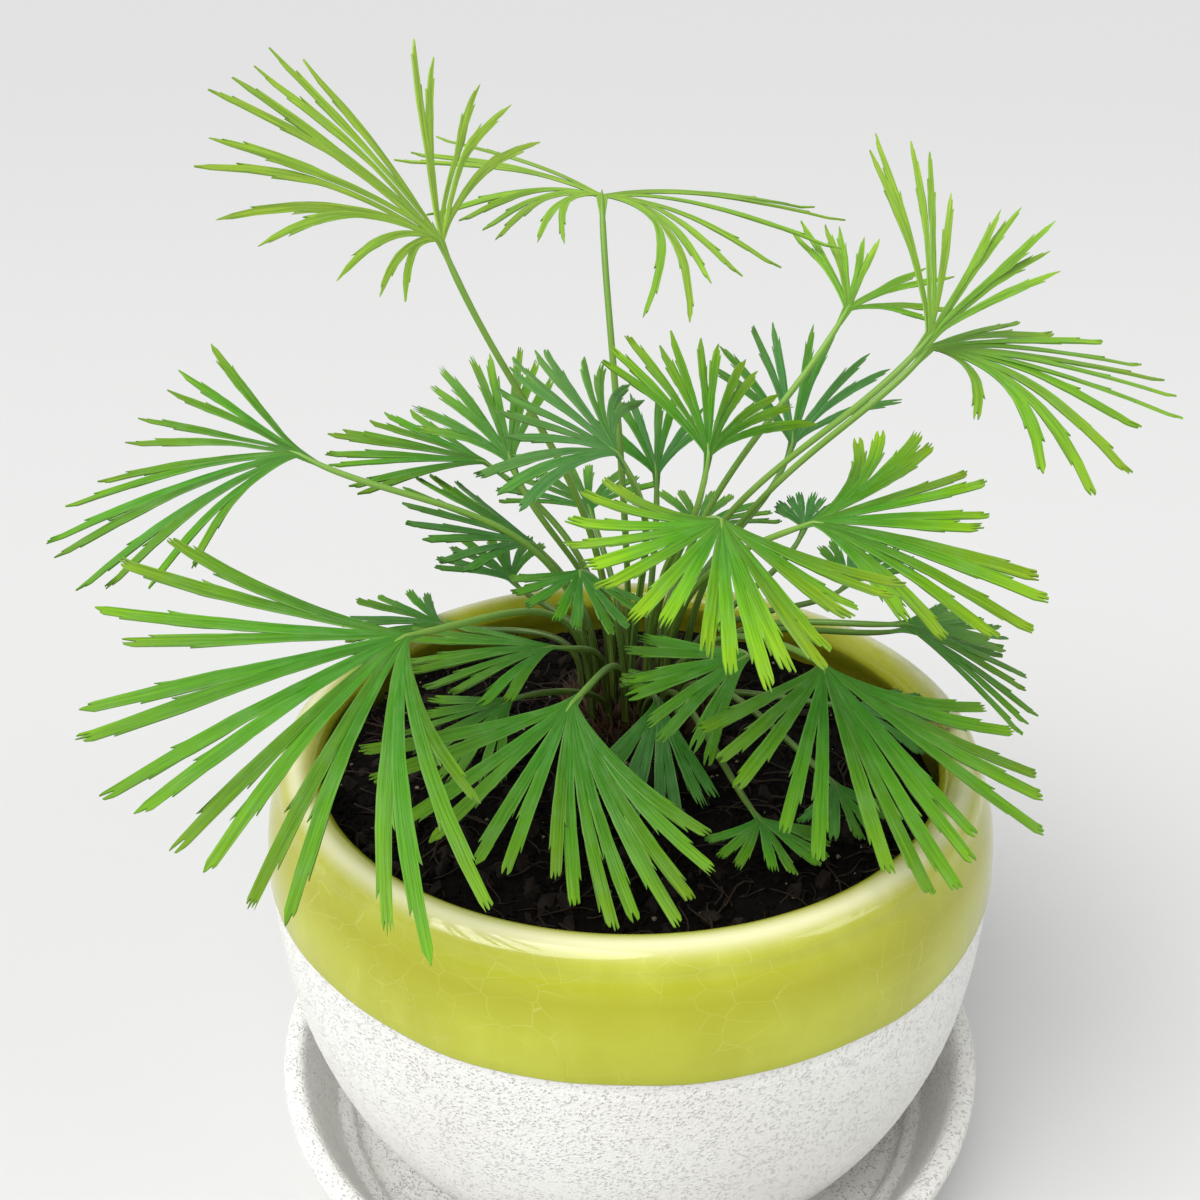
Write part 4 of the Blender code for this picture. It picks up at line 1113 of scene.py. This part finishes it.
def scale_tree():
    """Sets pointed scales over the input's faces, each leaning up and out."""
    node, given = new_tree("Scales on a surface",
                           density=1.0, shortest=0.002, longest=0.004, width=0.3, lowest=0.0, seed=1)
    high = node("SeparateXYZ", (node("GeometryNodeInputPosition"),), out=2)
    chosen = node("Math", (high, given["Lowest"]), operation="GREATER_THAN")
    spread = {"Mesh": given["Geometry"], "Selection": chosen,
              "Density": given["Density"], "Seed": given["Seed"]}
    strewn = node("GeometryNodeDistributePointsOnFaces", spread)
    sides = {"Vertices": 4, "Side Segments": 3, "Radius Top": 0.0, "Radius Bottom": 0.5, "Depth": 1.0}
    cone = node("GeometryNodeMeshCone", sides, fill_type="NGON")
    flat = (node("GeometryNodeInputPosition"), (1.0, 0.3, 1.0))
    flat = node("VectorMath", flat, operation="MULTIPLY")
    across, deep, up = node("SeparateXYZ", (flat,)).node.outputs
    curl = node("Math", (up, up), operation="MULTIPLY")
    curl = node("Math", (curl, 0.35), operation="MULTIPLY")
    across = node("Math", (across, given["Width"]), operation="MULTIPLY")
    deep = node("Math", (deep, given["Width"], curl), operation="MULTIPLY_ADD")
    bent = node("CombineXYZ", (across, deep, up))
    made = node("GeometryNodeSetPosition", {"Geometry": cone, "Position": bent})
    seed = node("Math", (given["Seed"], 5.0), operation="ADD")
    wander = {0: (-0.9, -0.9, -0.1), 1: (0.9, 0.9, 0.9), "Seed": seed}
    wander = node("FunctionNodeRandomValue", wander, data_type="FLOAT_VECTOR")
    lean = node("VectorMath", (strewn.node.outputs["Normal"], wander), operation="ADD")
    turn = node("FunctionNodeAlignRotationToVector", {"Vector": lean}, axis="Z")
    seed = node("Math", (given["Seed"], 2.0), operation="ADD")
    sizes = {2: given["Shortest"], 3: given["Longest"], "Seed": seed}
    size = node("FunctionNodeRandomValue", sizes, out=1, data_type="FLOAT")
    placed = node("GeometryNodeInstanceOnPoints",
                  {"Points": strewn, "Instance": made, "Rotation": turn, "Scale": size})
    return end_tree(node, placed, given["Finish"])


def make_crown(looks):
    """The rhizome that the stipes grow from, set with papery scales."""
    top = SOIL_TOP + CROWN_HEIGHT
    side = CROWN_RADIUS - 0.3
    bottom = SOIL_TOP - CROWN_DEPTH + GAP
    outline = [(0.0, top), (CROWN_RADIUS * 0.5, top - 0.6), (CROWN_RADIUS * 0.85, top - 2.0),
               (side, top - 4.2)]
    outline = [*softened(outline, 2), (side, SOIL_TOP - 4.0), (side, bottom), (0.0, bottom)]
    fine = [outline[0]]
    for a, b in zip(outline, outline[1:]):
        steps = max(1, int(math.dist(a, b) / 0.9))
        fine += [tuple(np.array(a) + (np.array(b) - np.array(a)) * (i + 1) / steps) for i in range(steps)]
    points, faces = turned(fine, 72)
    points[:, :2] += CROWN_CENTRE
    for point in points:
        if point[2] > SOIL_TOP - 2:
            point[2] += 0.8 * rough(point, 4.0, 1.0) + 0.3 * rough(point, 1.5, 2.0)
    finish = plain_finish("rhizome_skin", "2B170B", "4A2A14", 700.0, 0.85)
    scales = plain_finish("papery_rhizome_scales", "29180C", "46301A", 260.0, 0.6)
    piece = mesh_object("rhizome_crown", points, faces, (finish,))
    smooth(piece.data, 60)
    made = strewn_copy(piece, "rhizome_scales", scale_tree(), density=1500000.0, shortest=0.0018,
                       longest=0.0046, width=0.28, lowest=(SOIL_TOP - 1.0) * MM, seed=3, finish=scales)
    made.data.shade_flat()
    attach(made, BODY)
    return dressed(piece, "rhizome", "crown")


# Stage

CAMERA_PLACE = (0.0, -202.2, 210.2)
CAMERA_LENS = 39.0


def make_stage(settings):
    """A plain pale floor, soft studio light and the camera."""
    corners = [(-9000, -9000, 0), (9000, -9000, 0), (9000, 20000, 0), (-9000, 20000, 0)]
    floor = mesh_object("stage_floor", corners, [(0, 1, 2, 3)])
    made, node, shader = finish_of("plain_pale_floor")
    feed(shader, {"Base Color": settings.floor, "Roughness": 0.6})
    floor.data.materials.append(made)
    world = bpy.data.worlds.new("soft_studio")
    bpy.context.scene.world = world
    bpy.context.scene.view_settings.view_transform = "Standard"
    world.use_nodes = True
    sky = world.node_tree.nodes["Background"]
    feed(sky, {"Color": linear("EEF0F2"), "Strength": settings.fill})
    # a wide sun for an even floor and soft shadows, and two soft boxes for the glaze's reflections
    for name, kind, size, place, power in (("key", "SUN", 0.9, (-0.7, -0.75, 1.7), settings.sun),
                                           ("left_box", "AREA", 0.7, (-1.0, -0.8, 1.1), settings.box),
                                           ("right_box", "AREA", 0.5, (1.1, -0.5, 0.8), settings.box * 0.5)):
        light = bpy.data.lights.new(name, kind)
        light.energy = power
        if kind == "SUN":
            light.angle = size
        else:
            light.size = size
        lamp = bpy.data.objects.new(name, light)
        bpy.context.scene.collection.objects.link(lamp)
        lamp.location = place
        lamp.rotation_euler = (Vector((0, 0, 0.08)) - Vector(place)).to_track_quat("-Z", "Y").to_euler()
    camera = bpy.data.cameras.new("photo_view")
    camera.sensor_width = 36.0
    camera.lens = CAMERA_LENS
    camera.clip_end = 100.0
    view = bpy.data.objects.new("photo_view", camera)
    bpy.context.scene.collection.objects.link(view)
    view.location = Vector(CAMERA_PLACE) * MM
    pan, pitch, tilt = settings.pan, settings.pitch, settings.tilt
    view.rotation_euler = (Euler((0, 0, pan)).to_matrix() @ Euler((math.pi / 2 + pitch, 0, 0)).to_matrix()
                           @ Euler((0, 0, tilt)).to_matrix()).to_euler()
    bpy.context.scene.camera = view
    return floor


# Sizes and colours that a user would change

def amount(name, description, default, **more):
    """A size property."""
    return bpy.props.FloatProperty(name=name, description=description, default=default, **more)


def tint(name, description, default):
    """A colour property from an sRGB hex colour."""
    return bpy.props.FloatVectorProperty(name=name, description=description, default=linear(default), size=4,
                                         min=0.0, max=1.0, subtype="COLOR")


class FernLooks(bpy.types.PropertyGroup):
    """Sizes and colours of the dressed fern."""

    blade: amount("Blade thickness", "Thickness of a frond's blade", 0.00036,
                  unit="LENGTH", subtype="DISTANCE")
    young_hub: tint("Young hub", "Young blade where it meets its stipe", "5C9026")
    young_tip: tint("Young tip", "Young blade at its tips", "A4C81C")
    old_hub: tint("Old hub", "Old blade where it meets its stipe", "3C7A1E")
    old_tip: tint("Old tip", "Old blade at its tips", "5E9A16")
    vein_shade: tint("Vein shade", "Between the veins", "16440C")
    # painted light: laid over blades towards the top of the plant
    pale: tint("Pale", "Towards the top of the plant", "BCDE50")
    grey: tint("Grey", "The oldest blades", "649A66")
    # painted shade: laid over blades low among the stalks
    deep: tint("Deep", "Towards the soil", "226603")
    bloom: tint("Bloom", "Waxy patches", "72A060")
    margin: tint("Margin", "Edge of a lobe", "9DBE6C")
    underside: tint("Underside", "Lower face of a blade", "7FA066")
    clay: tint("Clay", "Bare fired clay", "F3F2EE")
    clay_shade: tint("Clay shade", "Darker clouds in the clay", "E9E7E1")
    glaze: tint("Glaze", "Main glaze colour", "B9BE34")
    glaze_deep: tint("Deep glaze", "Where the glaze is thick", "A4A412")
    glaze_light: tint("Light glaze", "Streaks in the glaze", "C8CE55")
    # partly thin glaze over the rim, partly a painted highlight along its crest
    glaze_thin_and_highlight: tint("Thin glaze", "Where it breaks over the rim", "E6E3B4")
    glaze_pool: tint("Pooled glaze", "At its lower edge", "8C9618")
    glaze_crack: tint("Crazing", "Fine cracks in the glaze", "DFE08A")
    soil: tint("Soil", "Moist potting mix", "050403")
    soil_light: tint("Dry soil", "Drier crumbs", "110C08")

    def young_colours(self):
        middle = (0.35, linear("5E9C14")), (0.7, linear("84B812"))
        return (0.0, self.young_hub), *middle, (1.0, self.young_tip)

    def old_colours(self):
        middle = (0.4, linear("347A08")), (0.8, linear("438C08"))
        return (0.0, self.old_hub), *middle, (1.0, self.old_tip)


class FernStage(bpy.types.PropertyGroup):
    """The floor, the lights and the camera's turn."""

    floor: tint("Floor", "Colour of the floor", "D4D4D2")
    fill: amount("Fill", "Strength of the light from all round", 0.58)
    sun: amount("Sun", "Strength of the wide main light", 2.65)
    box: amount("Boxes", "Power of the soft boxes", 4.0, unit="POWER")
    pitch: amount("Pitch", "Camera's rise", math.radians(-25.9), subtype="ANGLE")
    pan: amount("Pan", "Camera's turn to the left", math.radians(1.42), subtype="ANGLE")
    tilt: amount("Tilt", "Camera's roll", math.radians(-0.48), subtype="ANGLE")


class FERN_OT_saucer(bpy.types.Operator):
    """Turn the bare clay saucer"""

    bl_idname = "fern.saucer"
    bl_label = "Saucer"

    def execute(self, context):
        make_saucer(context.scene.fern_looks)
        return {"FINISHED"}


class FERN_OT_pot(bpy.types.Operator):
    """Turn the bowl and pour its glaze"""

    bl_idname = "fern.pot"
    bl_label = "Pot"

    def execute(self, context):
        make_pot(context.scene.fern_looks)
        return {"FINISHED"}


class FERN_OT_soil(bpy.types.Operator):
    """Fill the bowl with potting mix, and strew its crumbs and fibres"""

    bl_idname = "fern.soil"
    bl_label = "Soil"

    def execute(self, context):
        make_soil(context.scene.fern_looks)
        return {"FINISHED"}


class FERN_OT_crown(bpy.types.Operator):
    """Set the rhizome and its scales"""

    bl_idname = "fern.crown"
    bl_label = "Crown"

    def execute(self, context):
        make_crown(context.scene.fern_looks)
        return {"FINISHED"}


class FERN_OT_fronds(bpy.types.Operator):
    """Grow every frond from its line in the table"""

    bl_idname = "fern.fronds"
    bl_label = "Fronds"

    def execute(self, context):
        looks = context.scene.fern_looks
        tree, leaf, stalk = stipe_tree(), leaf_finish(looks), stipe_finish(looks)
        for number, (frond, root) in enumerate(zip(FRONDS, stipe_roots()), 1):
            make_frond(number, frond, root, tree, leaf, stalk, looks.blade / MM)
        return {"FINISHED"}


class FERN_OT_stage(bpy.types.Operator):
    """Set the floor, the lights and the camera"""

    bl_idname = "fern.stage"
    bl_label = "Stage"

    def execute(self, context):
        make_stage(context.scene.fern_stage)
        return {"FINISHED"}


class FERN_PT_panel(bpy.types.Panel):
    """Lists the fern's pieces, sizes and colours"""

    bl_idname = "FERN_PT_panel"
    bl_label = "Potted eyelash fern"
    bl_space_type = "VIEW_3D"
    bl_region_type = "UI"
    bl_category = "Fern"

    def draw(self, context):
        for operator in OPERATORS:
            self.layout.operator(operator.bl_idname)
        for group in (context.scene.fern_looks, context.scene.fern_stage):
            for name in group.__annotations__:
                self.layout.prop(group, name)


OPERATORS = (FERN_OT_stage, FERN_OT_saucer, FERN_OT_pot, FERN_OT_soil, FERN_OT_crown, FERN_OT_fronds)
CLASSES = (FernLooks, FernStage, *OPERATORS, FERN_PT_panel)


def register():
    for made in CLASSES:
        bpy.utils.register_class(made)
    bpy.types.Scene.fern_looks = bpy.props.PointerProperty(type=FernLooks)
    bpy.types.Scene.fern_stage = bpy.props.PointerProperty(type=FernStage)


def unregister():
    del bpy.types.Scene.fern_stage
    del bpy.types.Scene.fern_looks
    for made in reversed(CLASSES):
        bpy.utils.unregister_class(made)


def main():
    register()
    bpy.ops.fern.stage()
    bpy.ops.fern.saucer()
    bpy.ops.fern.pot()
    bpy.ops.fern.soil()
    bpy.ops.fern.crown()
    bpy.ops.fern.fronds()


if __name__ == "__main__":
    main()
